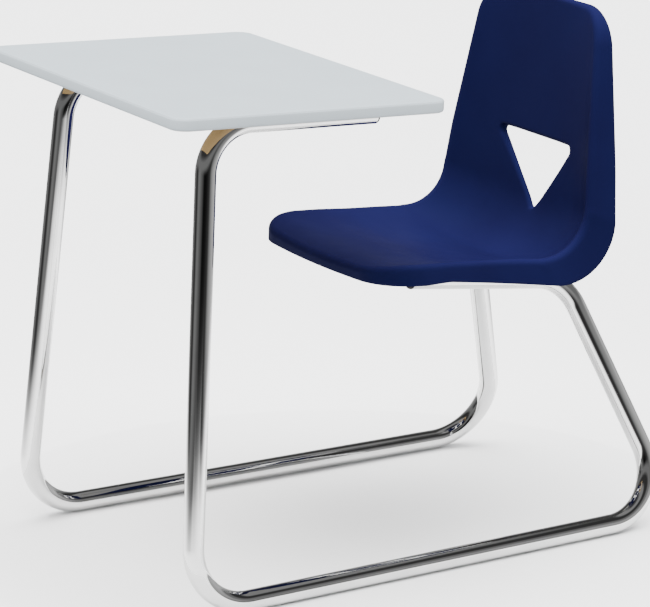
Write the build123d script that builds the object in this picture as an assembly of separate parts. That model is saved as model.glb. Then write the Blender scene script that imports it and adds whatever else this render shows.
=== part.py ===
from build123d import *
import os
from math import atan2, cos, degrees, radians, sin, tan

# Student desk chair: a moulded seat shell and a writing top carried by one pair of sled tubes.
# Millimetres. +Z is up and the floor is Z = 0. The student faces -Y, so +X is the student's left.

# ---- Steel tubing of the frame ---------------------------------------------------------------
TUBE_OD = 31.75
TUBE_WALL = 1.6
TUBE_R = TUBE_OD / 2
BORE_R = TUBE_R - TUBE_WALL
FLOOR_BEND_R = 88.0
ARM_BEND_R = 75.0
RAIL_BEND_R = 75.0

# Corners of the tube's centre line, before the bends round them.
FOOT_X = 274.0
HEEL_X = 257.5
RAIL_X = 127.0
FOOT_Y = -415.2
HEEL_Y = 464.7
POST_TOP_Y = 337.7
RAIL_FRONT_Y = 54.5
RAIL_PITCH = 7.75
RAIL_SINK = 1.2  # how far the front of the rails stands up inside the seat's skirt

# ---- Writing top -----------------------------------------------------------------------------
TOP_WIDTH = 609.6
TOP_DEPTH = 457.2
TOP_THICKNESS = 19.0
TOP_CORNER_R = 25.0
TOP_EDGE_R = 4.0
TOP_FRONT_Y = -446.8
TOP_FRONT_Z = 765.3
TOP_PITCH = 2.81
ARM_CORNER = 96.4  # from the top's front edge to the corner of leg and arm
ARM_INSET = 84.8  # from the top's side edges in to the arms
ARM_END_INSET = 79.7  # from the top's rear edge in to the arms' open ends
ARM_LET_IN = 5.0  # depth of the grooves that take the arms under the top
GROOVE_PLAY = 0.2
GROOVE_END_PLAY = 1.0  # past the domed heads of the arms' plugs
ARM_X = TOP_WIDTH / 2 - ARM_INSET
ARM_END = TOP_DEPTH - ARM_END_INSET

# ---- Flat steel bars that join the two sled tubes --------------------------------------------
BAR_WIDTH = 32.0
BAR_THICKNESS = 4.8
DESK_BAR_SETBACKS = {"front_desk_crossbar": 195.0, "rear_desk_crossbar": 345.0}
DESK_BAR_END_GAP = 4.0
SEAT_BAR_SETBACKS = {"front_seat_crossbar": 45.0, "rear_seat_crossbar": 180.0}
SEAT_BAR_RISE = 8.0  # top of the seat bars over the rails' centre line
WELD_R = 3.5

# ---- Fasteners -------------------------------------------------------------------------------
SCREW_SHANK_R = 2.4
SCREW_HEAD_R = 4.8
SCREW_HEAD_HEIGHT = 3.2
SCREW_DOME_R = 1.9
SCREW_TIP_CHAMFER = 1.2
SCREW_RECESS_DEPTH = 1.8
SCREW_RECESS_WIDTH = 1.0
SCREW_HOLE_PLAY = 0.4
PILOT_PLAY = 0.1
PILOT_RUN = 1.0  # how far the pilot holes run past the screws' tips
WASHER_R = 7.0
WASHER_THICKNESS = 1.2
DESK_SCREW_BITE = 10.0
SEAT_SCREW_BITE = 8.0
DESK_SCREW_X = (-150.0, 0.0, 150.0)
SEAT_SCREW_X = 78.0

# ---- Plugs in the open tube ends -------------------------------------------------------------
PLUG_HEAD_R = TUBE_R
PLUG_HEAD_LENGTH = 4.5
PLUG_DOME_R = 3.6
PLUG_SPIGOT_LENGTH = 22.0
PLUG_SPIGOT_WALL = 2.0
PLUG_RIB_COUNT = 3
PLUG_RIB_WIDTH = 3.0
PLUG_RIB_DEPTH = 1.5
PLUG_FIT = 0.15

# ---- Seat shell ------------------------------------------------------------------------------
SHELL_WALL = 4.5
RIM_R = 10.0
FLARE = 6.0
HOLLOW = 8.0  # middle of the pan over the plane of the skirt's free edge
LIP_DISH_SHARE = 0.3  # how much of the dish is left at the lip
DISH_POWER = 3.0  # 2 gives a round dish; more flattens its middle and steepens its sides
DISH_SHARES = (0.3, 0.6, 0.85, 1.0, 1.12)  # where the dish is drawn, from the middle past the rim

# Side profile of the rim, where the sitting face turns into the skirt.
RIM_HIP = (305.9, 451.9)
RIM_PITCH = 3.4
RIM_LEAN = 9.9
RIM_BEND_R = 74.3

# Side profile of the skirt's free edge.
SKIRT_HIP = (364.2, 389.6)
SKIRT_PITCH = 9.1
SKIRT_BEND_R = 92.9

LIP_HALF_WIDTH = 204.3
WAIST_Y = 130.0
WAIST_HALF_WIDTH = 203.5
HIP_HALF_WIDTH = 213.4
HEAD_HALF_WIDTH = 161.0

LIP_Y = -46.9
LIP_BOTTOM_Z = 435.8
LIP_BOW_R = 1350.0
LIP_CORNER_R = 85.0
KNEE_ROLL_LENGTH = 62.0
KNEE_ROLL_R = 155.0

HEAD_Z = 816.5
HEAD_DEPTH = 22.4  # from the rim's back line to the skirt's free edge, at the head
HEAD_CORNER_R = 66.0
HEAD_ROLL_LENGTH = 34.0
HEAD_ROLL_R = 96.0

# Triangular hand hole in the back, point down.
HOLE_TOP_Z = 587.0
HOLE_POINT_Z = 468.0
HOLE_HALF_WIDTH = 104.0
HOLE_CORNER_R = 7.0
HOLE_ROLL_R = 7.5

# Moulded bosses under the pan, with their cross ribs.
BOSS_R = 13.0
BOSS_RIB_SPAN = 60.0
BOSS_RIB_WIDTH = 3.0
BOSS_RIB_RELIEF = 5.0

HIP_STATIONS = 5
BACK_STATIONS = 4
STATION_RUN = 10.0  # how far the first and last sections lie past the lip and the head
OVERRUN = 20.0  # how far cutting bodies run past what they cut
CUT_REACH = 80.0  # how far the hand hole's cutter runs each way from the skirt
LAP = (0.0, 80.0, 680.0)  # a point in the open, before the sitting face


# ---- Frame geometry --------------------------------------------------------------------------
def sloping_plane(origin, pitch):
    """Plane whose Y runs rearward and down by pitch degrees, with Z square to it."""
    slope = radians(pitch)
    return Plane(origin=origin, x_dir=(1, 0, 0), z_dir=(0, sin(slope), cos(slope)))


def skirt_line_z(y):
    """Height of the skirt's straight free edge under the seat."""
    return SKIRT_HIP[1] + (SKIRT_HIP[0] - y) * tan(radians(SKIRT_PITCH))


TOP_PLANE = sloping_plane((0, TOP_FRONT_Y, TOP_FRONT_Z), TOP_PITCH)
RAIL_FRONT_Z = skirt_line_z(RAIL_FRONT_Y) + RAIL_SINK - TUBE_R / cos(radians(RAIL_PITCH))
RAIL_PLANE = sloping_plane((0, RAIL_FRONT_Y, RAIL_FRONT_Z), RAIL_PITCH)
POST_TOP_Z = RAIL_FRONT_Z - (POST_TOP_Y - RAIL_FRONT_Y) * tan(radians(RAIL_PITCH))


def top_point(x, along, below):
    """A point given from the writing top's front edge, along its slope and square below it."""
    return TOP_PLANE.from_local_coords(Vector(x, along, -below))


def tube_corners(side):
    """Centre line of one sled tube from the arm's end round to the rail's front end."""
    arm_depth = TOP_THICKNESS - ARM_LET_IN + TUBE_R
    return [
        top_point(side * ARM_X, ARM_END, arm_depth),
        top_point(side * ARM_X, ARM_CORNER, arm_depth),
        Vector(side * FOOT_X, FOOT_Y, TUBE_R),
        Vector(side * HEEL_X, HEEL_Y, TUBE_R),
        Vector(side * RAIL_X, POST_TOP_Y, POST_TOP_Z),
        Vector(side * RAIL_X, RAIL_FRONT_Y, RAIL_FRONT_Z),
    ]


def tube_path(side):
    """Straight runs of the tube joined by tangent bends."""
    corners = tube_corners(side)
    bends = [ARM_BEND_R, FLOOR_BEND_R, FLOOR_BEND_R, RAIL_BEND_R]
    edges = []
    start = corners[0]
    for before, corner, after, bend in zip(corners, corners[1:], corners[2:], bends):
        arriving = (corner - before).normalized()
        leaving = (after - corner).normalized()
        half_turn = radians(arriving.get_angle(leaving)) / 2
        setback = bend * tan(half_turn)
        entry = corner - arriving * setback
        leave = corner + leaving * setback
        inward = (leaving - arriving).normalized()
        middle = corner + inward * (bend / cos(half_turn) - bend)
        edges.append(Edge.make_line(start, entry))
        edges.append(Edge.make_three_point_arc(entry, middle, leave))
        start = leave
    edges.append(Edge.make_line(start, corners[-1]))
    return Wire(edges)


def bent_rod(side, radius):
    path = tube_path(side)
    section = Plane(origin=path @ 0, z_dir=path % 0) * Circle(radius)
    return sweep(section, path=path)


def end_plane(side, end):
    """Plane across the tube at the arm's end (0) or the rail's end (1), facing outward."""
    path = tube_path(side)
    outward = path % end if end else (path % end) * -1
    return Plane(origin=path @ end, z_dir=outward)


def sled_tube(side):
    """One continuous tube: arm, leg, runner, post and seat rail."""
    return bent_rod(side, TUBE_R) - bent_rod(side, BORE_R)


# ---- Bars, welds and fasteners ---------------------------------------------------------------
def screw_holes(plane, places, radius, length):
    """Rods centred on a plane, to cut holes with."""
    return [plane * Pos(x, y, 0) * Cylinder(radius, length) for x, y in places]


def pilot_holes(plane, places, bite):
    """Close holes that the self-tapping screws cut their thread in."""
    return screw_holes(plane, places, SCREW_SHANK_R + PILOT_PLAY, 2 * (bite + PILOT_RUN))


def desk_screw_places(setback):
    return [(x, setback) for x in DESK_SCREW_X]


def seat_screw_places(setback):
    return [(side * SEAT_SCREW_X, setback) for side in (-1, 1)]


def desk_bar_plane():
    """Upper face of the desk bars, against the underside of the writing top."""
    return TOP_PLANE.offset(-TOP_THICKNESS)


def seat_bar_plane():
    """Upper face of the seat bars, where the shell's bosses stand."""
    return RAIL_PLANE.offset(SEAT_BAR_RISE)


def crossbar(plane, setback, half_length, places, tubes):
    """Flat bar under a plane, with its ends coped to the tubes and its screw holes drilled."""
    bar = plane * Pos(0, setback, -BAR_THICKNESS / 2) * Box(2 * half_length, BAR_WIDTH, BAR_THICKNESS)
    bar -= tubes
    bar = max(bar.solids(), key=lambda piece: piece.volume)
    return bar - screw_holes(plane, places, SCREW_SHANK_R + SCREW_HOLE_PLAY, 4 * BAR_THICKNESS)


def weld_beads(plane, setbacks, height, reach, tubes, bars):
    """Fillet beads along the joints of bars and tubes, under the bars."""
    beads = []
    for setback in setbacks:
        for side in (-1, 1):
            rod = plane * Pos(side * reach, setback, height) * Rot(90, 0, 0) * Cylinder(WELD_R, BAR_WIDTH)
            for bead in (rod - tubes - bars).solids():
                beads.append(bead)
    return beads


def pan_head_screw(length):
    """Screw standing on Z = 0 with its shank up and its crossed recess below."""
    head = Cylinder(SCREW_HEAD_R, SCREW_HEAD_HEIGHT, align=(Align.CENTER, Align.CENTER, Align.MAX))
    head = fillet(head.edges().sort_by(Axis.Z)[0], SCREW_DOME_R)
    shank = Cylinder(SCREW_SHANK_R, length, align=(Align.CENTER, Align.CENTER, Align.MIN))
    shank = chamfer(shank.edges().sort_by(Axis.Z)[-1], SCREW_TIP_CHAMFER)
    recess = Pos(0, 0, -SCREW_HEAD_HEIGHT) * (
        Box(SCREW_HEAD_R, SCREW_RECESS_WIDTH, 2 * SCREW_RECESS_DEPTH)
        + Box(SCREW_RECESS_WIDTH, SCREW_HEAD_R, 2 * SCREW_RECESS_DEPTH)
    )
    return head + shank - recess


def washer():
    """Flat washer hanging under Z = 0."""
    ring = Circle(WASHER_R) - Circle(SCREW_SHANK_R + SCREW_HOLE_PLAY / 2)
    return extrude(ring, amount=-WASHER_THICKNESS)


def fastener_sets(plane, places, bite):
    """Washers against the bars' lower faces and the screws that pass through them."""
    bar_bottom = plane.offset(-BAR_THICKNESS)
    screw_seat = bar_bottom.offset(-WASHER_THICKNESS)
    screw = pan_head_screw(WASHER_THICKNESS + BAR_THICKNESS + bite)
    screws = [screw_seat * Pos(x, y, 0) * screw for x, y in places]
    washers = [bar_bottom * Pos(x, y, 0) * washer() for x, y in places]
    return screws, washers


def end_plug():
    """Tube plug: domed head over Z = 0 and a ribbed hollow spigot below it."""
    head = Cylinder(PLUG_HEAD_R, PLUG_HEAD_LENGTH, align=(Align.CENTER, Align.CENTER, Align.MIN))
    head = fillet(head.edges().sort_by(Axis.Z)[-1], PLUG_DOME_R)
    outer = BORE_R - PLUG_FIT
    rib_space = PLUG_SPIGOT_LENGTH / PLUG_RIB_COUNT
    down = (Align.CENTER, Align.CENTER, Align.MAX)
    plug = head + Cylinder(outer - PLUG_RIB_DEPTH, PLUG_SPIGOT_LENGTH, align=down)
    for rib in range(PLUG_RIB_COUNT):
        plug += Pos(0, 0, -rib * rib_space) * Cylinder(outer, PLUG_RIB_WIDTH, align=down)
    plug -= Cylinder(outer - PLUG_RIB_DEPTH - PLUG_SPIGOT_WALL, PLUG_SPIGOT_LENGTH, align=down)
    return plug


def plug_at(side, end):
    """Plug in the arm's end (0) or the rail's end (1), head outward."""
    return end_plane(side, end) * end_plug()


# ---- Writing top -----------------------------------------------------------------------------
def arm_grooves():
    """Cutters for the round-bottomed grooves that take the arms and their plugs' heads."""
    cutters = []
    for side in (-1, 1):
        cutters.append(bent_rod(side, TUBE_R + GROOVE_PLAY))
        disc = end_plane(side, 0) * Circle(TUBE_R + GROOVE_PLAY)
        cutters.append(extrude(disc, amount=PLUG_HEAD_LENGTH + GROOVE_END_PLAY))
    return cutters


def desk_top():
    """Flat moulded top with rounded corners and a softened edge, grooves and pilot holes below."""
    slab = Box(TOP_WIDTH, TOP_DEPTH, TOP_THICKNESS, align=(Align.CENTER, Align.MIN, Align.MAX))
    slab = fillet(slab.edges().filter_by(Axis.Z), TOP_CORNER_R)
    rims = slab.faces().filter_by(Axis.Z).edges()
    slab = TOP_PLANE * fillet(rims, TOP_EDGE_R)
    places = [place for setback in DESK_BAR_SETBACKS.values() for place in desk_screw_places(setback)]
    slab -= pilot_holes(desk_bar_plane(), places, DESK_SCREW_BITE)
    return (slab - arm_grooves()).solid()


# ---- Seat shell ------------------------------------------------------------------------------
class Profile:
    """Side profile of the shell: a seat line, a hip bend and a back line."""

    def __init__(self, hip, pitch, lean, radius):
        self.hip = Vector(0, *hip)
        self.forward = Vector(0, -cos(radians(pitch)), sin(radians(pitch)))
        self.upward = Vector(0, sin(radians(lean)), cos(radians(lean)))
        self.half_turn = radians(90 - lean + pitch) / 2
        self.radius = radius

    def bend(self, share):
        """Point on the hip bend: share 0 ends the seat line, 1 starts the back line."""
        inward = (self.forward + self.upward).normalized()
        centre = self.hip + inward * (self.radius / cos(self.half_turn))
        across = (self.upward - self.forward).normalized()
        angle = self.half_turn * (2 * share - 1)
        return centre - inward * (self.radius * cos(angle)) + across * (self.radius * sin(angle))

    def at_y(self, y):
        return self.hip + self.forward * ((y - self.hip.Y) / self.forward.Y)

    def at_z(self, z):
        return self.hip + self.upward * ((z - self.hip.Z) / self.upward.Z)


RIM = Profile(RIM_HIP, RIM_PITCH, RIM_LEAN, RIM_BEND_R)
SKIRT_RISE = HEAD_Z - SKIRT_HIP[1]
SKIRT_LEAN = degrees(atan2(RIM.at_z(HEAD_Z).Y + HEAD_DEPTH - SKIRT_HIP[0], SKIRT_RISE))
SKIRT = Profile(SKIRT_HIP, SKIRT_PITCH, SKIRT_LEAN, SKIRT_BEND_R)


def roll_drop(past, radius):
    """Drop of a face that has rolled over for past mm."""
    return max(past, 0) ** 2 / (2 * radius)


def seat_half_width(y):
    """The pan narrows from lip to waist, then widens to the hip."""
    if y < WAIST_Y:
        share = (WAIST_Y - y) / (WAIST_Y - LIP_Y)
        return WAIST_HALF_WIDTH + (LIP_HALF_WIDTH - WAIST_HALF_WIDTH) * share
    share = (y - WAIST_Y) / (RIM.bend(0).Y - WAIST_Y)
    return WAIST_HALF_WIDTH + (HIP_HALF_WIDTH - WAIST_HALF_WIDTH) * share**2


def back_half_width(z):
    """The back tapers evenly from hip to head."""
    hip_z = RIM.bend(1).Z
    return HIP_HALF_WIDTH + (HEAD_HALF_WIDTH - HIP_HALF_WIDTH) * (z - hip_z) / (HEAD_Z - hip_z)


def seat_station(y):
    """Rim point, skirt point and half width across the seat at y."""
    rim = RIM.at_y(y) - Vector(0, 0, roll_drop(LIP_Y + KNEE_ROLL_LENGTH - y, KNEE_ROLL_R))
    skirt = SKIRT.at_y(y)
    return rim, Vector(0, y, min(skirt.Z, LIP_BOTTOM_Z)), seat_half_width(y)


def hip_station(share):
    return RIM.bend(share), SKIRT.bend(share), HIP_HALF_WIDTH


def back_station(z):
    """Rim point, skirt point and half width across the back at z."""
    rim = RIM.at_z(z) + Vector(0, roll_drop(z - HEAD_Z + HEAD_ROLL_LENGTH, HEAD_ROLL_R), 0)
    return rim, SKIRT.at_z(z), back_half_width(z)


def shell_stations():
    """Stations from ahead of the lip, round the hip and up past the head."""
    knee = LIP_Y + KNEE_ROLL_LENGTH
    seat_end = RIM.bend(0).Y
    seat = [LIP_Y - STATION_RUN, (2 * LIP_Y + knee) / 3, knee]
    seat += [(knee + WAIST_Y) / 2, WAIST_Y, (WAIST_Y + seat_end) / 2]
    hip = [step / (HIP_STATIONS - 1) for step in range(HIP_STATIONS)]
    back_start = RIM.bend(1).Z
    shoulder = HEAD_Z - HEAD_ROLL_LENGTH
    rise = (shoulder - back_start) / BACK_STATIONS
    back = [back_start + rise * (step + 1) for step in range(BACK_STATIONS)]
    back += [(shoulder + HEAD_Z) / 2, HEAD_Z + STATION_RUN]
    stations = [seat_station(y) for y in seat]
    stations += [hip_station(share) for share in hip]
    return stations + [back_station(z) for z in back]


def lip_share(y):
    """The dish is shallow at the lip and full from the waist on."""
    share = (y - LIP_Y) / (WAIST_Y - LIP_Y)
    return min(LIP_DISH_SHARE + (1 - LIP_DISH_SHARE) * share, 1)


def envelope_section(station, inset):
    """Section with flared sides, from over the rim down to the skirt's free edge."""
    rim, skirt, half_width = station
    depth = (skirt - rim).length
    inward = (skirt - rim).normalized()
    bottom = depth + (OVERRUN if inset else 0)

    def corner(side, below):
        across = half_width + FLARE * below / depth - inset
        return rim + inward * below + Vector(side * across, 0, 0)

    ends = [(-1, -OVERRUN), (1, -OVERRUN), (1, bottom), (-1, bottom)]
    return Face(Wire.make_polygon([corner(side, below) for side, below in ends]))


def dish_section(station, inset):
    """Section of all that lies over the dished sitting face."""
    rim, skirt, half_width = station
    depth = (skirt - rim).length
    inward = (skirt - rim).normalized()
    dish = (depth - HOLLOW) * lip_share(rim.Y)

    def point(share):
        below = dish * (1 - abs(share) ** DISH_POWER) + inset
        return rim + inward * below + Vector(share * half_width, 0, 0)

    shares = [-share for share in reversed(DISH_SHARES)] + [0] + list(DISH_SHARES)
    face_line = Edge.make_spline([point(share) for share in shares])
    right, left = point(shares[-1]), point(shares[0])
    over = inward * (-2 * OVERRUN)
    up = Edge.make_line(right, right + over)
    across = Edge.make_line(right + over, left + over)
    down = Edge.make_line(left + over, left)
    return Face(Wire([face_line, up, across, down]))


def hole_cutter(inset):
    """Rounded triangular prism through the back, square to its lean."""
    lean = radians(RIM_LEAN)
    plane = Plane(origin=SKIRT.at_z(HOLE_POINT_Z), x_dir=(1, 0, 0), z_dir=(0, -cos(lean), sin(lean)))
    height = HOLE_TOP_Z - HOLE_POINT_Z
    corners = [(0, 0), (HOLE_HALF_WIDTH, height), (-HOLE_HALF_WIDTH, height)]
    outline = Polygon(*corners, align=None)
    outline = fillet(outline.vertices(), HOLE_CORNER_R)
    outline = offset(outline, inset) if inset else outline
    return plane * extrude(outline, amount=CUT_REACH, both=True)


def corner_edge(block, side, half_width, y, z):
    """The block's edge that runs through an outline corner, found by its middle."""
    corner = Vector(side * half_width, y, z)
    return min(block.edges(), key=lambda edge: (edge.center() - corner).length)


def sitting_face(block):
    """The face toward the student."""
    return min(block.faces(), key=lambda face: face.distance_to(Vertex(*LAP)))


def round_corners(block, inset):
    """Two upright corners rounded at the lip and two at the head."""
    lip_y = LIP_Y + LIP_BOW_R - (LIP_BOW_R**2 - LIP_HALF_WIDTH**2) ** 0.5
    lip = [corner_edge(block, side, LIP_HALF_WIDTH, lip_y, LIP_BOTTOM_Z) for side in (-1, 1)]
    block = fillet(lip, LIP_CORNER_R - inset)
    head_y = (RIM.at_z(HEAD_Z) + SKIRT.at_z(HEAD_Z)).Y / 2
    head = [corner_edge(block, side, HEAD_HALF_WIDTH, head_y, HEAD_Z) for side in (-1, 1)]
    return fillet(head, HEAD_CORNER_R - inset)


def shell_block(inset):
    """Solid envelope of the shell, drawn in by inset on every moulded face."""
    stations = shell_stations()
    tall = 2 * HEAD_Z
    block = loft([envelope_section(station, inset) for station in stations])
    block = block & Pos(0, LIP_Y + LIP_BOW_R + inset, 0) * Cylinder(LIP_BOW_R, 2 * tall)
    block -= Pos(0, 0, HEAD_Z - inset + tall / 2) * Box(tall, tall, tall)
    block = round_corners(block, inset)
    block -= loft([dish_section(station, inset) for station in stations])
    block -= hole_cutter(inset)
    block = fillet(sitting_face(block).outer_wire().edges(), RIM_R - inset)
    hole_edges = sitting_face(block).inner_wires()[0].edges()
    return fillet(hole_edges, HOLE_ROLL_R - inset).solid()


def bosses(hollow):
    """Ribbed bosses that fill the hollow between the pan and the seat bars."""
    plane = seat_bar_plane()
    upright = (Align.CENTER, Align.CENTER, Align.MIN)
    height = HEAD_Z - RIM_HIP[1]
    pieces = []
    for setback in SEAT_BAR_SETBACKS.values():
        for x, y in seat_screw_places(setback):
            boss = plane * Pos(x, y, 0) * Cylinder(BOSS_R, height, align=upright)
            rib = Box(BOSS_RIB_SPAN, BOSS_RIB_WIDTH, height, align=upright)
            ribs = rib + Rot(0, 0, 90) * rib
            boss += plane * Pos(x, y, BOSS_RIB_RELIEF) * ribs
            pieces.append(boss & hollow)
    return pieces


def seat_shell():
    """One-piece moulded shell: dished pan and back, rolled rim and skirt, bosses underneath."""
    hollow = shell_block(SHELL_WALL)
    shell = shell_block(0) - hollow
    for boss in bosses(hollow):
        shell += boss
    places = [place for setback in SEAT_BAR_SETBACKS.values() for place in seat_screw_places(setback)]
    shell -= pilot_holes(seat_bar_plane(), places, SEAT_SCREW_BITE)
    return shell.solid()


# ---- Assembly --------------------------------------------------------------------------------
def build_parts():
    """Every sub-part by name, in place."""
    tubes = {"left_sled_tube": sled_tube(1), "right_sled_tube": sled_tube(-1)}
    rods = [bent_rod(1, TUBE_R), bent_rod(-1, TUBE_R)]
    parts = dict(tubes)

    desk_bars = []
    for name, setback in DESK_BAR_SETBACKS.items():
        half_length = ARM_X - DESK_BAR_END_GAP
        bar = crossbar(desk_bar_plane(), setback, half_length, desk_screw_places(setback), rods)
        parts[name] = bar
        desk_bars.append(bar)
    seat_bars = []
    for name, setback in SEAT_BAR_SETBACKS.items():
        bar = crossbar(seat_bar_plane(), setback, RAIL_X, seat_screw_places(setback), rods)
        parts[name] = bar
        seat_bars.append(bar)

    bar_bottom = TUBE_R - ARM_LET_IN - BAR_THICKNESS
    desk_weld_reach = ARM_X - (TUBE_R**2 - bar_bottom**2) ** 0.5
    desk_beads = weld_beads(
        desk_bar_plane(), DESK_BAR_SETBACKS.values(), -BAR_THICKNESS, desk_weld_reach, rods, desk_bars
    )
    bar_bottom = SEAT_BAR_RISE - BAR_THICKNESS
    seat_weld_reach = RAIL_X - (TUBE_R**2 - bar_bottom**2) ** 0.5
    seat_beads = weld_beads(
        seat_bar_plane(), SEAT_BAR_SETBACKS.values(), -BAR_THICKNESS, seat_weld_reach, rods, seat_bars
    )
    parts["desk_crossbar_welds"] = Compound(children=desk_beads)
    parts["seat_crossbar_welds"] = Compound(children=seat_beads)

    desk_places = [place for setback in DESK_BAR_SETBACKS.values() for place in desk_screw_places(setback)]
    screws, washers = fastener_sets(desk_bar_plane(), desk_places, DESK_SCREW_BITE)
    parts["desk_screws"] = Compound(children=screws)
    parts["desk_screw_washers"] = Compound(children=washers)
    seat_places = [place for setback in SEAT_BAR_SETBACKS.values() for place in seat_screw_places(setback)]
    screws, washers = fastener_sets(seat_bar_plane(), seat_places, SEAT_SCREW_BITE)
    parts["seat_screws"] = Compound(children=screws)
    parts["seat_screw_washers"] = Compound(children=washers)

    for name, side in (("left", 1), ("right", -1)):
        parts[f"{name}_arm_end_plug"] = plug_at(side, 0)
        parts[f"{name}_rail_end_plug"] = plug_at(side, 1)
    parts["desk_top"] = desk_top()
    parts["seat_shell"] = seat_shell()
    return parts


os.makedirs("parts", exist_ok=True)
for part_name, shape in build_parts().items():
    export_step(shape, f"parts/{part_name}.step")
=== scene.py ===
# %% [markdown]
# # A student desk chair
# One moulded seat shell and one flat writing top are carried by a pair of bent chrome tubes.
# The frame that is loaded here holds every piece at its real size and place, in metres, with
# +Z up and the floor at Z = 0. The student faces -Y. This lesson dresses the frame: it makes
# smooth meshes for the pieces that the eye follows, and gives every piece its finish.

# %% Load the frame
import math

import bmesh
import bpy
import numpy as np
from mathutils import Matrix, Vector
from mathutils.bvhtree import BVHTree


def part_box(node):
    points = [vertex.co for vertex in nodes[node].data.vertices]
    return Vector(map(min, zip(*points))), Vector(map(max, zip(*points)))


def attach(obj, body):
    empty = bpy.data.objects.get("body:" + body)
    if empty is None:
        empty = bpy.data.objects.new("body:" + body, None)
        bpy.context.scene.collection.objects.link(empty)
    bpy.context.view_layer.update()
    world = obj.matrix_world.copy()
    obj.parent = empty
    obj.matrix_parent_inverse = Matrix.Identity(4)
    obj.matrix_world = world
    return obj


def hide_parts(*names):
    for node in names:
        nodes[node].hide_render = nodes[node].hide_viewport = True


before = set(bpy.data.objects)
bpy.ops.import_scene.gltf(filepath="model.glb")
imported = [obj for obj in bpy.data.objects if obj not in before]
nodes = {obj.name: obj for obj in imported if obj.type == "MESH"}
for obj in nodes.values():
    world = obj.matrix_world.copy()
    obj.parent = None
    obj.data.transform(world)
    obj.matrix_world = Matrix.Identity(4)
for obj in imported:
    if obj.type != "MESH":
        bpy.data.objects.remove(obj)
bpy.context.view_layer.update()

MM = 0.001

# %% [markdown]
# ## Helpers
# Every finished piece is one mesh whose object sits at the origin, rides on the rigid body
# `root` and stands for its node in the frame.


# %% Helpers for pieces
def mesh_piece(name, vertices, faces):
    """A smooth-shaded mesh object from lists of vertices and faces."""
    mesh = bpy.data.meshes.new(name)
    mesh.from_pydata([tuple(v) for v in vertices], [], [tuple(f) for f in faces])
    mesh.validate()
    mesh.polygons.foreach_set("use_smooth", [True] * len(mesh.polygons))
    piece = bpy.data.objects.new(name, mesh)
    bpy.context.scene.collection.objects.link(piece)
    return piece


def applied(piece):
    """Turns a piece with modifiers into a plain mesh with the same name."""
    depsgraph = bpy.context.evaluated_depsgraph_get()
    mesh = bpy.data.meshes.new_from_object(piece.evaluated_get(depsgraph), depsgraph=depsgraph)
    piece.modifiers.clear()
    if piece.type == "MESH":
        piece.data = mesh
        return piece
    name = piece.name
    bpy.data.objects.remove(piece)
    made = bpy.data.objects.new(name, mesh)
    bpy.context.scene.collection.objects.link(made)
    return made


def hand_over(piece, slot, *replaced):
    """Joins a finished piece to the frame."""
    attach(piece, "root")
    if replaced:
        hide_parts(*replaced)
    print(piece.name, "faces:", len(piece.data.polygons))


# %% Helpers for materials
def new_material(name):
    """A material with its node tree and Principled shader."""
    material = bpy.data.materials.new(name)
    material.use_nodes = True
    tree = material.node_tree
    return material, tree, tree.nodes["Principled BSDF"]


def noise_on_object(tree, scale, detail=4.0, roughness=0.5):
    """Noise in the object's own coordinates, so that it stays put on the piece."""
    coordinates = tree.nodes.new("ShaderNodeTexCoord")
    noise = tree.nodes.new("ShaderNodeTexNoise")
    noise.inputs["Scale"].default_value = scale
    noise.inputs["Detail"].default_value = detail
    noise.inputs["Roughness"].default_value = roughness
    tree.links.new(coordinates.outputs["Object"], noise.inputs["Vector"])
    return noise


def ramp(tree, source, stops):
    """A colour ramp over a 0 to 1 value. Each stop is (position, colour)."""
    node = tree.nodes.new("ShaderNodeValToRGB")
    while len(node.color_ramp.elements) < len(stops):
        node.color_ramp.elements.new(0.5)
    for element, (position, colour) in zip(node.color_ramp.elements, stops):
        element.position = position
        element.color = (*colour, 1.0)
    tree.links.new(source, node.inputs["Fac"])
    return node.outputs["Color"]


def spread(tree, source, low, high):
    """Maps a 0 to 1 value onto low to high."""
    node = tree.nodes.new("ShaderNodeMapRange")
    node.inputs["To Min"].default_value = low
    node.inputs["To Max"].default_value = high
    tree.links.new(source, node.inputs["Value"])
    return node.outputs["Result"]


NOISE_LOW, NOISE_HIGH = 0.3, 0.7


def two_shades(tree, shader, noise, darker, lighter):
    """Colours a shader from one shade to the other over the middle of a noise's range."""
    colour = ramp(tree, noise.outputs["Fac"], [(NOISE_LOW, darker), (NOISE_HIGH, lighter)])
    tree.links.new(colour, shader.inputs["Base Color"])


def worn(tree, shader, noise, smoothest, dullest):
    """Lets a noise wander the shader's roughness between two values."""
    roughness = spread(tree, noise.outputs["Fac"], smoothest, dullest)
    tree.links.new(roughness, shader.inputs["Roughness"])


def bump(tree, shader, height, strength, distance):
    """A fine relief on the shader's normal."""
    node = tree.nodes.new("ShaderNodeBump")
    node.inputs["Strength"].default_value = strength
    node.inputs["Distance"].default_value = distance
    tree.links.new(height, node.inputs["Height"])
    tree.links.new(node.outputs["Normal"], shader.inputs["Normal"])


# %% [markdown]
# ## Finishes
# Chrome plate is a mirror: its look is the room it reflects. The plate follows the tube's own
# faint draw marks, so the roughness wanders a little and a very low relief breaks the mirror.


# %% Chrome plate
def chrome_plate():
    material, tree, shader = new_material("chrome_plate")
    shader.inputs["Metallic"].default_value = 1.0
    wander = noise_on_object(tree, 14.0, 3.0)
    two_shades(tree, shader, wander, (0.60, 0.60, 0.60), (0.68, 0.68, 0.675))
    smear = noise_on_object(tree, 45.0, 5.0, 0.6)
    worn(tree, shader, smear, 0.03, 0.08)
    bump(tree, shader, wander.outputs["Fac"], 0.02, 0.001)
    return material


CHROME = chrome_plate()
print("made", CHROME.name)


# %% [markdown]
# The shell is polypropylene, coloured through and moulded in a finely textured tool. The grain
# is under half a millimetre, so it shows as a broad satin sheen, and use polishes it unevenly.
# The pigment lies just under the skin, so the sheen itself is tinted blue.


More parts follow.
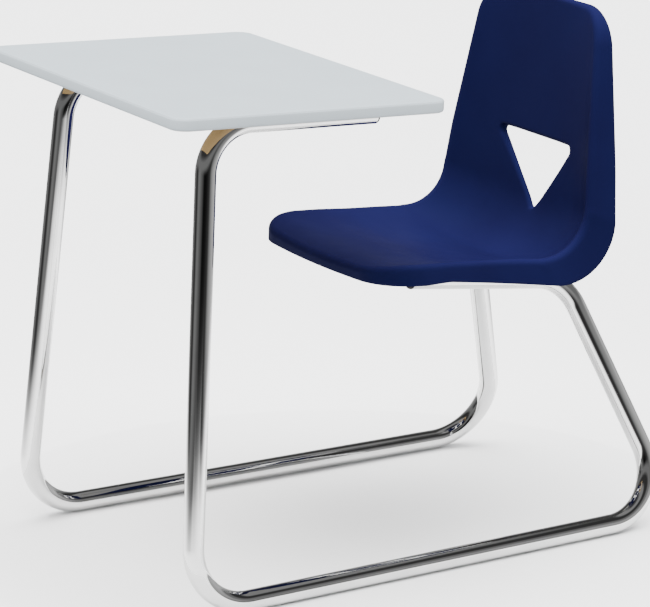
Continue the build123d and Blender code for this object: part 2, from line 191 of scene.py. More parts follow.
# %% Navy polypropylene
def navy_polypropylene():
    material, tree, shader = new_material("navy_polypropylene")
    flow = noise_on_object(tree, 5.0, 3.0)
    two_shades(tree, shader, flow, (0.0062, 0.0062, 0.035), (0.0074, 0.0078, 0.043))
    shader.inputs["Specular IOR Level"].default_value = 0.02
    shader.inputs["Specular Tint"].default_value = (0.05, 0.60, 1.0, 1.0)
    polish = noise_on_object(tree, 22.0, 4.0)
    worn(tree, shader, polish, 0.42, 0.52)
    grain = noise_on_object(tree, 1800.0, 2.0)
    bump(tree, shader, grain.outputs["Fac"], 0.12, 0.0002)
    return material


NAVY = navy_polypropylene()
print("made", NAVY.name)


# %% [markdown]
# The writing top is one pale grey, matt, so that it spreads the light evenly. A faint mottle and
# a fine pebble keep it from looking like a flat cut-out. The band round its edge is painted a shade
# paler than the face. That is painted light: it makes up for the shade on the upright edge under a
# light from above, so that edge and face read as one tone. Under the top lies a tan
# backing sheet, which shows again as the warm patch in the chrome of the arms' bends.


# %% Grey top
def grey_hard_plastic(name, darkest, lightest):
    material, tree, shader = new_material(name)
    mottle = noise_on_object(tree, 9.0, 4.0)
    two_shades(tree, shader, mottle, darkest, lightest)
    wear = noise_on_object(tree, 60.0, 5.0, 0.6)
    worn(tree, shader, wear, 0.42, 0.55)
    pebble = noise_on_object(tree, 1500.0, 2.0)
    bump(tree, shader, pebble.outputs["Fac"], 0.08, 0.0002)
    return material


def tan_backer():
    material, tree, shader = new_material("tan_backer")
    fibre = noise_on_object(tree, 120.0, 6.0, 0.65)
    two_shades(tree, shader, fibre, (0.44, 0.27, 0.085), (0.54, 0.34, 0.120))
    shader.inputs["Roughness"].default_value = 0.7
    bump(tree, shader, fibre.outputs["Fac"], 0.1, 0.0003)
    return material


GREY = grey_hard_plastic("grey_hard_plastic", (0.355, 0.402, 0.434), (0.370, 0.420, 0.452))
# The edge band is painted paler than the top: painted light that cancels the shade on upright
# faces.
EDGE_BAND_PAINTED_PALER = grey_hard_plastic("grey_edge_band", (0.500, 0.560, 0.600), (0.520, 0.580, 0.620))
BACKER = tan_backer()
print("made", GREY.name, EDGE_BAND_PAINTED_PALER.name, BACKER.name)


# %% [markdown]
# The tube plugs are black polyethylene, a little waxy. The screws and washers are bright zinc.


# %% Black plastic and zinc
def black_polyethylene():
    material, tree, shader = new_material("black_polyethylene")
    flow = noise_on_object(tree, 40.0, 3.0)
    two_shades(tree, shader, flow, (0.008, 0.008, 0.009), (0.014, 0.014, 0.015))
    shader.inputs["Roughness"].default_value = 0.5
    shader.inputs["Specular IOR Level"].default_value = 0.12
    grain = noise_on_object(tree, 2200.0, 2.0)
    bump(tree, shader, grain.outputs["Fac"], 0.1, 0.0002)
    return material


def bright_zinc():
    material, tree, shader = new_material("bright_zinc")
    shader.inputs["Metallic"].default_value = 1.0
    spangle = noise_on_object(tree, 350.0, 3.0)
    two_shades(tree, shader, spangle, (0.50, 0.51, 0.53), (0.66, 0.67, 0.69))
    worn(tree, shader, spangle, 0.24, 0.38)
    return material


BLACK = black_polyethylene()
ZINC = bright_zinc()
print("made", BLACK.name, ZINC.name)

# %% [markdown]
# ## The sled tubes
# On the real desk each side is one length of 1-1/4 inch tube, bent four times: arm, leg, runner,
# post and seat rail. A tube is a rule, a circle carried along a path, so Geometry Nodes make it.
# Six corner points carry their own bend radius, Fillet Curve rounds them, and Curve to Mesh
# sweeps the circle. Sizes here repeat the frame's own, in metres. The swept circle is a hair
# thinner than the tube, so that the finished object stays inside the frame's box.

# %% Corners of the tube
TUBE_R = 31.75 * MM / 2
TOP_THICKNESS = 19.0 * MM
TOP_PITCH = math.radians(2.81)
TOP_WIDTH = 609.6 * MM
TOP_DEPTH = 457.2 * MM
TOP_FRONT = Vector((0, -446.8 * MM, 765.3 * MM))
ALONG_TOP = Vector((0, math.cos(TOP_PITCH), -math.sin(TOP_PITCH)))
OFF_TOP = Vector((0, math.sin(TOP_PITCH), math.cos(TOP_PITCH)))


def on_top(x, along, above):
    """A point given from the writing top's front edge, along its slope and square above it."""
    return TOP_FRONT + Vector((x, 0, 0)) + ALONG_TOP * along + OFF_TOP * above


rail_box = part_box("left_rail_end_plug")
RAIL_PITCH = math.radians(7.75)
RAIL_X = (rail_box[0][0] + rail_box[1][0]) / 2
ARM_X = 220 * MM
ARM_END = 377.5 * MM
ARM_LET_IN = 5 * MM
ARM_DROP = -(TOP_THICKNESS - ARM_LET_IN + TUBE_R)
RAIL_FRONT = Vector((RAIL_X, 54.5 * MM, 424.385 * MM))
POST_RUN = (337.7 - 54.5) * MM
TUBE_CORNERS = [
    (on_top(ARM_X, ARM_END, ARM_DROP), 0.0),
    (on_top(ARM_X, 96.4 * MM, ARM_DROP), 75 * MM),
    (Vector((274 * MM, -415.2 * MM, TUBE_R)), 88 * MM),
    (Vector((257.5 * MM, 464.7 * MM, TUBE_R)), 88 * MM),
    (RAIL_FRONT + Vector((0, POST_RUN, -POST_RUN * math.tan(RAIL_PITCH))), 75 * MM),
    (RAIL_FRONT, 0.0),
]
print("tube corners:", [[round(v, 3) for v in p] for p, bend in TUBE_CORNERS])


# %% Geometry Nodes tree for a bent tube
def link(tree, source, target):
    tree.links.new(source, target)


def bent_tube_tree():
    """Curve in, tube out. The bend radius of each corner is the point attribute 'bend'."""
    tree = bpy.data.node_groups.new("bent_tube", "GeometryNodeTree")
    face = tree.interface
    face.new_socket("Path", in_out="INPUT", socket_type="NodeSocketGeometry")
    face.new_socket("Tube radius", in_out="INPUT", socket_type="NodeSocketFloat")
    face.new_socket("Steps in a bend", in_out="INPUT", socket_type="NodeSocketInt")
    face.new_socket("Steps around", in_out="INPUT", socket_type="NodeSocketInt")
    face.new_socket("Finish", in_out="INPUT", socket_type="NodeSocketMaterial")
    face.new_socket("Tube", in_out="OUTPUT", socket_type="NodeSocketGeometry")
    source = tree.nodes.new("NodeGroupInput")
    bend = tree.nodes.new("GeometryNodeInputNamedAttribute")
    bend.data_type = "FLOAT"
    bend.inputs["Name"].default_value = "bend"
    path = tree.nodes.new("GeometryNodeMeshToCurve")
    fillet = tree.nodes.new("GeometryNodeFilletCurve")
    fillet.mode = "POLY"
    circle = tree.nodes.new("GeometryNodeCurvePrimitiveCircle")
    sweep = tree.nodes.new("GeometryNodeCurveToMesh")
    sweep.inputs["Fill Caps"].default_value = True
    smooth = tree.nodes.new("GeometryNodeSetShadeSmooth")
    realize = tree.nodes.new("GeometryNodeRealizeInstances")
    finish = tree.nodes.new("GeometryNodeSetMaterial")
    result = tree.nodes.new("NodeGroupOutput")
    link(tree, source.outputs["Path"], path.inputs["Mesh"])
    link(tree, path.outputs["Curve"], fillet.inputs["Curve"])
    link(tree, bend.outputs["Attribute"], fillet.inputs["Radius"])
    link(tree, source.outputs["Steps in a bend"], fillet.inputs["Count"])
    link(tree, fillet.outputs["Curve"], sweep.inputs["Curve"])
    link(tree, source.outputs["Steps around"], circle.inputs["Resolution"])
    link(tree, source.outputs["Tube radius"], circle.inputs["Radius"])
    link(tree, circle.outputs["Curve"], sweep.inputs["Profile Curve"])
    link(tree, sweep.outputs["Mesh"], smooth.inputs["Geometry"])
    link(tree, smooth.outputs["Geometry"], realize.inputs["Geometry"])
    link(tree, realize.outputs["Geometry"], finish.inputs["Geometry"])
    link(tree, source.outputs["Finish"], finish.inputs["Material"])
    link(tree, finish.outputs["Geometry"], result.inputs["Tube"])
    return tree


def with_nodes(piece, tree, settings):
    """Adds a Geometry Nodes modifier, sets its inputs by socket identifier, and applies it."""
    modifier = piece.modifiers.new(tree.name, "NODES")
    modifier.node_group = tree
    items = tree.interface.items_tree
    sockets = {item.name: item.identifier for item in items if item.in_out == "INPUT"}
    for name, value in settings.items():
        modifier[sockets[name]] = value
    return applied(piece)


BENT_TUBE = bent_tube_tree()
BEND_STEPS, ROUND_STEPS = 32, 48
PLATE_SLACK = 0.03 * MM
print("made the tree", BENT_TUBE.name)


def bent_rod(name, side, corners, radius):
    """A rod along (point, bend) corners, on the left side (1) or mirrored to the right (-1)."""
    mesh = bpy.data.meshes.new(name)
    points = [(side * p.x, p.y, p.z) for p, bend in corners]
    mesh.from_pydata(points, [(k, k + 1) for k in range(len(corners) - 1)], [])
    bends = mesh.attributes.new("bend", "FLOAT", "POINT")
    bends.data.foreach_set("value", [bend for p, bend in corners])
    piece = bpy.data.objects.new(name, mesh)
    bpy.context.scene.collection.objects.link(piece)
    steps = {"Steps in a bend": BEND_STEPS, "Steps around": ROUND_STEPS}
    return with_nodes(piece, BENT_TUBE, {"Tube radius": radius, **steps, "Finish": CHROME})


SIDES = (("left", 1), ("right", -1))
for side_name, side in SIDES:
    tube = bent_rod(f"{side_name}_sled_tube_plated", side, TUBE_CORNERS, TUBE_R - PLATE_SLACK)
    hand_over(tube, "chrome_steel", f"{side_name}_sled_tube")

# %% [markdown]
# ## The seat shell
# The real shell is one moulding: a dished pan and back, a rim that rolls over into a deep skirt,
# and a triangular hand hole whose edge rolls backward. Sculpting it by eye would wander off the
# frame, so a rule makes it. Two side profiles, the rim's and the skirt's, say where each section
# begins and ends, a flat-bottomed dish joins the section's two rims, and rolls are laid round the
# outline and the hole. Solidify then gives the sheet its wall.

# %% Side profiles of the shell, in millimetres
RIM = {"hip": (305.9, 451.9), "pitch": math.radians(3.4), "lean": math.radians(9.9), "bend": 74.3}
HEAD_Z, HEAD_DEPTH, HEAD_CORNER_R = 816.3, 22.4, 66.0
HEAD_ROLL_LENGTH, HEAD_ROLL_R = 34.0, 96.0
SKIRT = {"hip": (364.2, 389.6), "pitch": math.radians(9.1), "bend": 92.9}
rim_head_y = RIM["hip"][0] + (HEAD_Z - RIM["hip"][1]) * math.tan(RIM["lean"])
SKIRT["lean"] = math.atan2(rim_head_y + HEAD_DEPTH - SKIRT["hip"][0], HEAD_Z - SKIRT["hip"][1])
SHELL_WALL, RIM_R, FLARE = 4.5, 10.0, 6.0
HOLLOW, LIP_DISH_SHARE, DISH_POWER = 8.0, 0.3, 3.0
LIP_Y, LIP_BOTTOM_Z, LIP_BOW_R, LIP_CORNER_R = -46.9, 435.8, 1350.0, 85.0
KNEE_ROLL_LENGTH, KNEE_ROLL_R = 62.0, 155.0
LIP_HALF_WIDTH, WAIST_HALF_WIDTH, HIP_HALF_WIDTH, HEAD_HALF_WIDTH = 204.3, 203.5, 213.4, 161.0
WAIST_Y = 130.0


def bend_point(profile, share):
    """Points (y, z) on a profile's hip bend: share 0 ends the seat line, 1 starts the back line."""
    pitch, lean, radius = profile["pitch"], profile["lean"], profile["bend"]
    half_turn = (math.pi / 2 - lean + pitch) / 2
    forward = np.array([-math.cos(pitch), math.sin(pitch)])
    upward = np.array([math.sin(lean), math.cos(lean)])
    inward = (forward + upward) / np.linalg.norm(forward + upward)
    across = (upward - forward) / np.linalg.norm(upward - forward)
    angle = half_turn * (2 * np.asarray(share, float)[..., None] - 1)
    centre = np.array(profile["hip"]) + inward * (radius / math.cos(half_turn))
    return centre - inward * radius * np.cos(angle) + across * radius * np.sin(angle)


SEAT_END, BACK_START = bend_point(RIM, 0.0), bend_point(RIM, 1.0)
SKIRT_SEAT_END, SKIRT_BACK_START = bend_point(SKIRT, 0.0), bend_point(SKIRT, 1.0)
HIP_ARC = RIM["bend"] * (math.pi / 2 - RIM["lean"] + RIM["pitch"])
PAIRING = 60.0  # how far from the hip bend the skirt's points draw level with the rim's
SLOPE_STEP = 0.5  # how far apart two points stand when a slope is measured
print("rim bend from", SEAT_END.round(1), "to", BACK_START.round(1), "arc", round(HIP_ARC, 1))


# %% Sections along the shell
def ease(value):
    return np.clip(value, 0, 1)


def run_of_y(y):
    """Run along the rim, 0 where the hip bend starts, of a place on the seat."""
    return (y - SEAT_END[0]) / math.cos(RIM["pitch"])


def run_of_z(z):
    """Run along the rim of a place on the back."""
    return HIP_ARC + (z - BACK_START[1]) / math.cos(RIM["lean"])


def rim_at(run):
    """Rim point (y, z) at each run, with the rolls over the knee and the head."""
    run = np.asarray(run, float)
    seat_y = SEAT_END[0] + run * math.cos(RIM["pitch"])
    past_knee = np.clip(LIP_Y + KNEE_ROLL_LENGTH - seat_y, 0, None)
    seat_z = SEAT_END[1] - run * math.sin(RIM["pitch"]) - past_knee**2 / (2 * KNEE_ROLL_R)
    back_z = BACK_START[1] + (run - HIP_ARC) * math.cos(RIM["lean"])
    past_head = np.clip(back_z - HEAD_Z + HEAD_ROLL_LENGTH, 0, None)
    back_y = BACK_START[0] + (run - HIP_ARC) * math.sin(RIM["lean"])
    back_y = back_y + past_head**2 / (2 * HEAD_ROLL_R)
    bend = bend_point(RIM, np.clip(run / HIP_ARC, 0, 1))
    on_seat, on_back = (run < 0)[..., None], (run > HIP_ARC)[..., None]
    points = np.where(on_seat, np.stack([seat_y, seat_z], -1), bend)
    return np.where(on_back, np.stack([back_y, back_z], -1), points)


def skirt_at(run):
    """Point (y, z) on the skirt's free edge that belongs to each run."""
    run = np.asarray(run, float)
    rim = rim_at(run)
    seat_y = rim[..., 0] + (SKIRT_SEAT_END[0] - SEAT_END[0]) * ease(1 + run / PAIRING)
    seat_z = SKIRT["hip"][1] + (SKIRT["hip"][0] - seat_y) * math.tan(SKIRT["pitch"])
    seat_z = np.minimum(seat_z, LIP_BOTTOM_Z)
    back_drop = BACK_START[1] - SKIRT_BACK_START[1]
    back_z = rim[..., 1] - back_drop * ease(1 - (run - HIP_ARC) / PAIRING)
    back_y = SKIRT["hip"][0] + (back_z - SKIRT["hip"][1]) * math.tan(SKIRT["lean"])
    bend = bend_point(SKIRT, np.clip(run / HIP_ARC, 0, 1))
    on_seat, on_back = (run < 0)[..., None], (run > HIP_ARC)[..., None]
    points = np.where(on_seat, np.stack([seat_y, seat_z], -1), bend)
    return np.where(on_back, np.stack([back_y, back_z], -1), points)


def half_width_at(run):
    """Half width of the rim at each run."""
    run = np.asarray(run, float)
    y, z = rim_at(run)[..., 0], rim_at(run)[..., 1]
    lip = WAIST_HALF_WIDTH + (LIP_HALF_WIDTH - WAIST_HALF_WIDTH) * (WAIST_Y - y) / (WAIST_Y - LIP_Y)
    swell = np.clip((y - WAIST_Y) / (SEAT_END[0] - WAIST_Y), 0, 1)
    hip = WAIST_HALF_WIDTH + (HIP_HALF_WIDTH - WAIST_HALF_WIDTH) * swell**2
    seat = np.where(y < WAIST_Y, lip, hip)
    rise = (z - BACK_START[1]) / (HEAD_Z - BACK_START[1])
    back = HIP_HALF_WIDTH + (HEAD_HALF_WIDTH - HIP_HALF_WIDTH) * np.clip(rise, 0, None)
    return np.where(run < 0, seat, np.where(run > HIP_ARC, back, HIP_HALF_WIDTH))


def sitting_face(x, run):
    """Points on the dished face toward the student."""
    rim, skirt, half = rim_at(run), skirt_at(run), half_width_at(run)
    depth = np.linalg.norm(skirt - rim, axis=-1)
    inward = (skirt - rim) / depth[..., None]
    lip_share = LIP_DISH_SHARE + (1 - LIP_DISH_SHARE) * (rim[..., 0] - LIP_Y) / (WAIST_Y - LIP_Y)
    dish = (depth - HOLLOW) * np.minimum(lip_share, 1)
    below = dish * (1 - np.abs(x / half) ** DISH_POWER)
    side = rim + inward * below[..., None]
    return np.concatenate([np.broadcast_to(x, run.shape)[..., None], side], -1)


def face_normal(x, run):
    """Unit normals of the sitting face, toward the student."""
    across = sitting_face(x + SLOPE_STEP, run) - sitting_face(x - SLOPE_STEP, run)
    along = sitting_face(x, run + SLOPE_STEP) - sitting_face(x, run - SLOPE_STEP)
    normal = np.cross(across, along)
    return normal / np.linalg.norm(normal, axis=-1)[..., None]


def skirt_edge(x, run):
    """Points on the skirt's free edge."""
    return np.concatenate([np.asarray(x, float)[..., None], skirt_at(run)], -1)


waist_middle = sitting_face(np.array([0.0]), np.array([run_of_y(WAIST_Y)]))
print("pan middle at the waist:", waist_middle.round(1))

# %% [markdown]
# The outline is traced once round, from the middle of the lip over the right side to the middle
# of the head, and mirrored. Two insets move its sides and its ends, so the same trace gives the
# line where the roll starts and the line where the skirt ends, point for point.

# %% Outline of the shell
END_STEPS, CORNER_STEPS, SEAT_STEPS, HIP_STEPS, BACK_STEPS = 22, 20, 30, 28, 52


def outline_half(side_inset, end_inset):
    """(x, run) from the lip's middle round the right side to the head's middle."""
    count = END_STEPS + 2 * CORNER_STEPS + SEAT_STEPS + HIP_STEPS + BACK_STEPS + END_STEPS
    side_inset = np.broadcast_to(side_inset, count + 1).astype(float)
    end_inset = np.broadcast_to(end_inset, count + 1).astype(float)

    bow_centre = LIP_Y + LIP_BOW_R
    lip_r = LIP_CORNER_R - (side_inset + end_inset) / 2
    lip_x = LIP_HALF_WIDTH - side_inset - lip_r
    reach = LIP_BOW_R - end_inset - lip_r
    lip_y = bow_centre - np.sqrt(reach**2 - lip_x**2)
    start_angle = np.arcsin(lip_x / reach)

    taper = (HIP_HALF_WIDTH - HEAD_HALF_WIDTH) / (HEAD_Z - BACK_START[1])
    tilt = math.atan(taper)
    head_r = HEAD_CORNER_R - (side_inset + end_inset) / 2
    head_z = HEAD_Z - end_inset - head_r
    head_half = HIP_HALF_WIDTH - taper * (head_z - BACK_START[1])
    head_x = head_half - side_inset - head_r / math.cos(tilt)

    x, run = np.zeros(count + 1), np.zeros(count + 1)
    k = 0
    for step in range(END_STEPS):
        angle = start_angle[k] * step / END_STEPS
        radius = LIP_BOW_R - end_inset[k]
        x[k], run[k] = radius * math.sin(angle), run_of_y(bow_centre - radius * math.cos(angle))
        k += 1
    for step in range(CORNER_STEPS):
        angle = start_angle[k] + (math.pi / 2 - start_angle[k]) * step / CORNER_STEPS
        x[k] = lip_x[k] + lip_r[k] * math.sin(angle)
        run[k] = run_of_y(lip_y[k] - lip_r[k] * math.cos(angle))
        k += 1
    for step in range(SEAT_STEPS):
        run[k] = run_of_y(lip_y[k]) * (1 - step / SEAT_STEPS)
        x[k] = half_width_at(run[k]) - side_inset[k]
        k += 1
    for step in range(HIP_STEPS):
        run[k] = HIP_ARC * step / HIP_STEPS
        x[k] = half_width_at(run[k]) - side_inset[k]
        k += 1
    for step in range(BACK_STEPS):
        top = run_of_z(head_z[k] + head_r[k] * math.sin(tilt))
        run[k] = HIP_ARC + (top - HIP_ARC) * step / BACK_STEPS
        x[k] = half_width_at(run[k]) - side_inset[k]
        k += 1
    for step in range(CORNER_STEPS):
        angle = tilt + (math.pi / 2 - tilt) * step / CORNER_STEPS
        x[k] = head_x[k] + head_r[k] * math.cos(angle)
        run[k] = run_of_z(head_z[k] + head_r[k] * math.sin(angle))
        k += 1
    for step in range(END_STEPS + 1):
        x[k] = head_x[k] * (1 - step / END_STEPS)
        run[k] = run_of_z(HEAD_Z - end_inset[k])
        k += 1
    return x, run


def outline_loop(side_inset, end_inset):
    """The closed outline, counterclockwise as the student sees the sitting face from above."""
    x, run = outline_half(side_inset, end_inset)
    return np.concatenate([x, -x[-2:0:-1]]), np.concatenate([run, run[-2:0:-1]])


x, run = outline_loop(0.0, 0.0)
print("outline points:", len(x), "half width", x.max().round(1))
print("runs from", run.min().round(1), "to", run.max().round(1))

# %% [markdown]
# A roll leaves the sitting face along its tangent, turns on a fixed radius and then runs straight
# to an edge. In section that is an arc and a line, so one helper makes both the roll of the rim
# and the roll of the hand hole. How far the arc turns follows from the wall it has to meet, and
# where that wall is shallow, as at the head, the radius shrinks so that some wall is left.


# %% Rolls
def unit(vectors):
    return vectors / np.linalg.norm(vectors, axis=-1)[..., None]


def off_loop(points, normals):
    """Unit directions off a closed loop, in the face and square to the loop."""
    return unit(np.cross(np.roll(points, -1, 0) - np.roll(points, 1, 0), normals))


def turn_to(wall, normal, outward):
    """Angle that a roll turns through to run along its wall."""
    return np.arctan2(-(wall * normal).sum(-1), (wall * outward).sum(-1))


def roll_rows(start, normal, outward, turn, end, radius, arc_steps, wall_steps):
    """Rows of points from a tangent line over an arc and along a wall to its edge."""
    radius = np.broadcast_to(radius, turn.shape)[:, None]
    centre = start - normal * radius
    rows = []
    for step in range(1, arc_steps + 1):
        angle = (turn * step / arc_steps)[:, None]
        rows.append(centre + radius * (normal * np.cos(angle) + outward * np.sin(angle)))
    last = rows[-1]
    for step in range(1, wall_steps + 1):
        rows.append(last + (end - last) * step / wall_steps)
    return rows


def roll_radius(largest, corner, edge, turn):
    """Radius at each point, limited where the wall from corner to edge is shallow."""
    wall_depth = np.linalg.norm(edge - corner, axis=-1)
    return np.minimum(largest, ROLL_SHARE * wall_depth / np.tan(turn / 2))


ARC_STEPS, WALL_STEPS = 7, 6
ROLL_SHARE = 0.75  # the most of a shallow wall that a roll may take
corner_x, corner_run = outline_loop(0.0, 0.0)
corner_points = sitting_face(corner_x, corner_run)
corner_normals = face_normal(corner_x, corner_run)
skirt_points = skirt_edge(*outline_loop(-FLARE, 0.0))
wall = unit(skirt_points - corner_points)
turn = turn_to(wall, corner_normals, off_loop(corner_points, corner_normals))
half_count = len(outline_half(0.0, 0.0)[0])
rim_radius = roll_radius(RIM_R, corner_points, skirt_points, turn)
inset = (rim_radius * np.tan(turn / 2))[:half_count]
rim_x, rim_run = outline_loop(inset, inset)
rim_points, rim_normals = sitting_face(rim_x, rim_run), face_normal(rim_x, rim_run)
rim_out = off_loop(rim_points, rim_normals)
rim_turn = turn_to(wall, rim_normals, rim_out)
rim_rows = roll_rows(
    rim_points, rim_normals, rim_out, rim_turn, skirt_points, rim_radius, ARC_STEPS, WALL_STEPS
)
turned = np.degrees(rim_turn).round()
print("rim turns", turned.min(), "to", turned.max(), "degrees")
print("rim radius", rim_radius.min().round(1))
print("insets", inset.min().round(1), "to", inset.max().round(1))

# %% [markdown]
# Inside the rim the sitting face is a grid. Its four sides are stretches of the rim line, parted
# in the middle of the four corners, and a Coons patch spreads the rows and columns between them.

# %% Grid of the sitting face
LIP_CUT = END_STEPS + CORNER_STEPS // 2
HEAD_CUT = END_STEPS + CORNER_STEPS + SEAT_STEPS + HIP_STEPS + BACK_STEPS + CORNER_STEPS // 2
COLUMNS, ROWS = 2 * LIP_CUT, HEAD_CUT - LIP_CUT
loop_size = len(rim_x)
rim_line = np.stack([rim_x, rim_run], -1)
lip_side = rim_line[np.arange(-LIP_CUT, LIP_CUT + 1)]
right_side = rim_line[np.arange(LIP_CUT, HEAD_CUT + 1)]
head_side = rim_line[np.arange(loop_size - HEAD_CUT, HEAD_CUT - 1, -1)]
left_side = right_side * np.array([-1.0, 1.0])
across = np.linspace(0, 1, COLUMNS + 1)[:, None, None]
along = np.linspace(0, 1, ROWS + 1)[None, :, None]
grid = (1 - along) * lip_side[:, None] + along * head_side[:, None]
grid = grid + (1 - across) * left_side[None] + across * right_side[None]
grid = grid - (1 - along) * ((1 - across) * lip_side[0] + across * lip_side[-1])
grid = grid - along * ((1 - across) * head_side[0] + across * head_side[-1])
print("grid", grid.shape, "corners", grid[0, 0].round(1), grid[-1, -1].round(1))

# %% [markdown]
# The hand hole is a rounded triangle, point down, cut square to the back. Its line is set out in
# that slanting plane, then each point is slid along the cut until it meets the sitting face.

# %% Hand hole line
HOLE_TOP_Z, HOLE_POINT_Z, HOLE_HALF_WIDTH = 587.0, 468.0, 104.0
HOLE_CORNER_R, HOLE_ROLL_R = 7.0, 7.5
hole_y = SKIRT["hip"][0] + (HOLE_POINT_Z - SKIRT["hip"][1]) * math.tan(SKIRT["lean"])
HOLE_ORIGIN = np.array([0.0, hole_y, HOLE_POINT_Z])
HOLE_UP = np.array([0.0, math.sin(RIM["lean"]), math.cos(RIM["lean"])])
HOLE_BACK = np.array([0.0, math.cos(RIM["lean"]), -math.sin(RIM["lean"])])
HOLE_HEIGHT = HOLE_TOP_Z - HOLE_POINT_Z
LOW_STATIONS, HIGH_STATIONS = 40, 80
CORNER_CROWDING = 20.0  # millimetres of line that a turn of one radian counts for
HEAD_CLEARANCE = 50.0  # the search for the hole's line stops this far under the head
HALVINGS = 40


def hole_line(spread_by, count):
    """Half of the triangle from its lower point to its top middle, as (x, up), grown outward.

    Points crowd into the corners: each is placed by its distance and its turning together.
    """
    slope = math.atan2(HOLE_HEIGHT, HOLE_HALF_WIDTH)
    side_normal = np.array([math.sin(slope), -math.cos(slope)])
    radius = HOLE_CORNER_R + spread_by
    low_centre = np.array([0.0, HOLE_CORNER_R / math.cos(slope)])
    high = HOLE_HEIGHT - HOLE_CORNER_R
    high_centre = np.array([(high - low_centre[1]) / math.tan(slope), high])
    low_angle, high_angle = -math.pi / 2, math.pi / 2
    side_angle = math.atan2(side_normal[1], side_normal[0])
    low_turns = np.linspace(low_angle, side_angle, LOW_STATIONS)
    high_turns = np.linspace(side_angle, high_angle, HIGH_STATIONS)
    stations = []
    for centre, turns in ((low_centre, low_turns), (high_centre, high_turns)):
        for angle in turns:
            stations.append(centre + radius * np.array([math.cos(angle), math.sin(angle)]))
    stations.append(np.array([0.0, HOLE_HEIGHT + spread_by]))
    stations = np.array(stations)
    turns = np.concatenate([low_turns, high_turns, [high_angle]])
    steps = np.linalg.norm(np.diff(stations, axis=0), axis=1) + CORNER_CROWDING * np.diff(turns)
    measure = np.concatenate([[0.0], np.cumsum(steps)])
    wanted = np.linspace(0.0, measure[-1], count + 1)
    return np.stack([np.interp(wanted, measure, stations[:, k]) for k in (0, 1)], -1)


def up_of(points):
    return (points - HOLE_ORIGIN) @ HOLE_UP


def run_of_up(surface, x, up):
    """Runs at which a surface stands at the given heights in the hole's plane."""
    low, high = np.full(len(x), HIP_ARC / 4), np.full(len(x), run_of_z(HEAD_Z - HEAD_CLEARANCE))
    for _ in range(HALVINGS):
        middle = (low + high) / 2
        below = up_of(surface(x, middle)) < up
        low, high = np.where(below, middle, low), np.where(below, high, middle)
    return (low + high) / 2


def full_loop(half):
    """Mirrors half a line of (x, value) pairs into a closed one."""
    return np.concatenate([half, half[-2:0:-1] * np.array([-1.0, 1.0])])


def on_face(line):
    """(x, run) of a line given as (x, up)."""
    return np.stack([line[:, 0], run_of_up(sitting_face, line[:, 0], line[:, 1])], -1)


HOLE_MARGIN = 16.0  # face left free between the roll of the hole and the grid round it
middle_rows = up_of(sitting_face(grid[COLUMNS // 2, :, 0], grid[COLUMNS // 2, :, 1]))
bottom_row = int(np.max(np.nonzero(middle_rows < -HOLE_ROLL_R - HOLE_MARGIN)[0]))
top_row = int(np.min(np.nonzero(middle_rows > HOLE_HEIGHT + HOLE_ROLL_R + HOLE_MARGIN)[0]))
widest = grid[:, (bottom_row + top_row) // 2, 0]
right_column = int(np.min(np.nonzero(widest > HOLE_HALF_WIDTH + HOLE_ROLL_R + HOLE_MARGIN)[0]))
left_column = COLUMNS - right_column
window_half = right_column - COLUMNS // 2
half_steps = 2 * window_half + top_row - bottom_row
print("window columns", left_column, "to", right_column, "rows", bottom_row, "to", top_row)
print("steps in half the window's line:", half_steps)

# %% Rings round the hand hole
window = [(i, bottom_row) for i in range(COLUMNS // 2, right_column)]
window += [(right_column, j) for j in range(bottom_row, top_row)]
window += [(i, top_row) for i in range(right_column, left_column, -1)]
window += [(left_column, j) for j in range(top_row, bottom_row, -1)]
window += [(i, bottom_row) for i in range(left_column, COLUMNS // 2)]
window_line = np.array([grid[i, j] for i, j in window])

HOLE_ROLL_SHARE = 0.88  # the most of the hole's shallowest wall that its roll may take
hole_full = full_loop(hole_line(0.0, half_steps))
hole_corner = sitting_face(*on_face(hole_full).T)
hole_x, hole_up = hole_full.T
hole_rear = skirt_edge(hole_x, run_of_up(skirt_edge, hole_x, hole_up))
shallowest = np.linalg.norm(hole_rear - hole_corner, axis=1).min()
hole_radius = min(HOLE_ROLL_R, HOLE_ROLL_SHARE * shallowest)
start_line = on_face(full_loop(hole_line(hole_radius, half_steps)))
start_points, start_normals = sitting_face(*start_line.T), face_normal(*start_line.T)
start_out = -off_loop(start_points, start_normals)
start_turn = turn_to(np.broadcast_to(HOLE_BACK, start_points.shape), start_normals, start_out)
hole_steps = (ARC_STEPS, WALL_STEPS // 2)
hole_rows = roll_rows(
    start_points, start_normals, start_out, start_turn, hole_rear, hole_radius, *hole_steps
)
print("hole roll radius", round(hole_radius, 1), "shallowest wall", shallowest.round(1))

RING_STEPS = 5
gap = start_line - window_line
ring_lines = [window_line + gap * step / RING_STEPS for step in range(1, RING_STEPS + 1)]
ring_rows = [sitting_face(*line.T) for line in ring_lines]
turned = np.degrees(start_turn).round()
print("hole turns", turned.min(), "to", turned.max(), "degrees, ring points", len(window))

# %% [markdown]
# The rows are sewn into one sheet. Solidify gives it the moulding's wall, all of it behind the
# sitting face, and a fine bevel breaks the two sharp edges as the mould's parting line does.


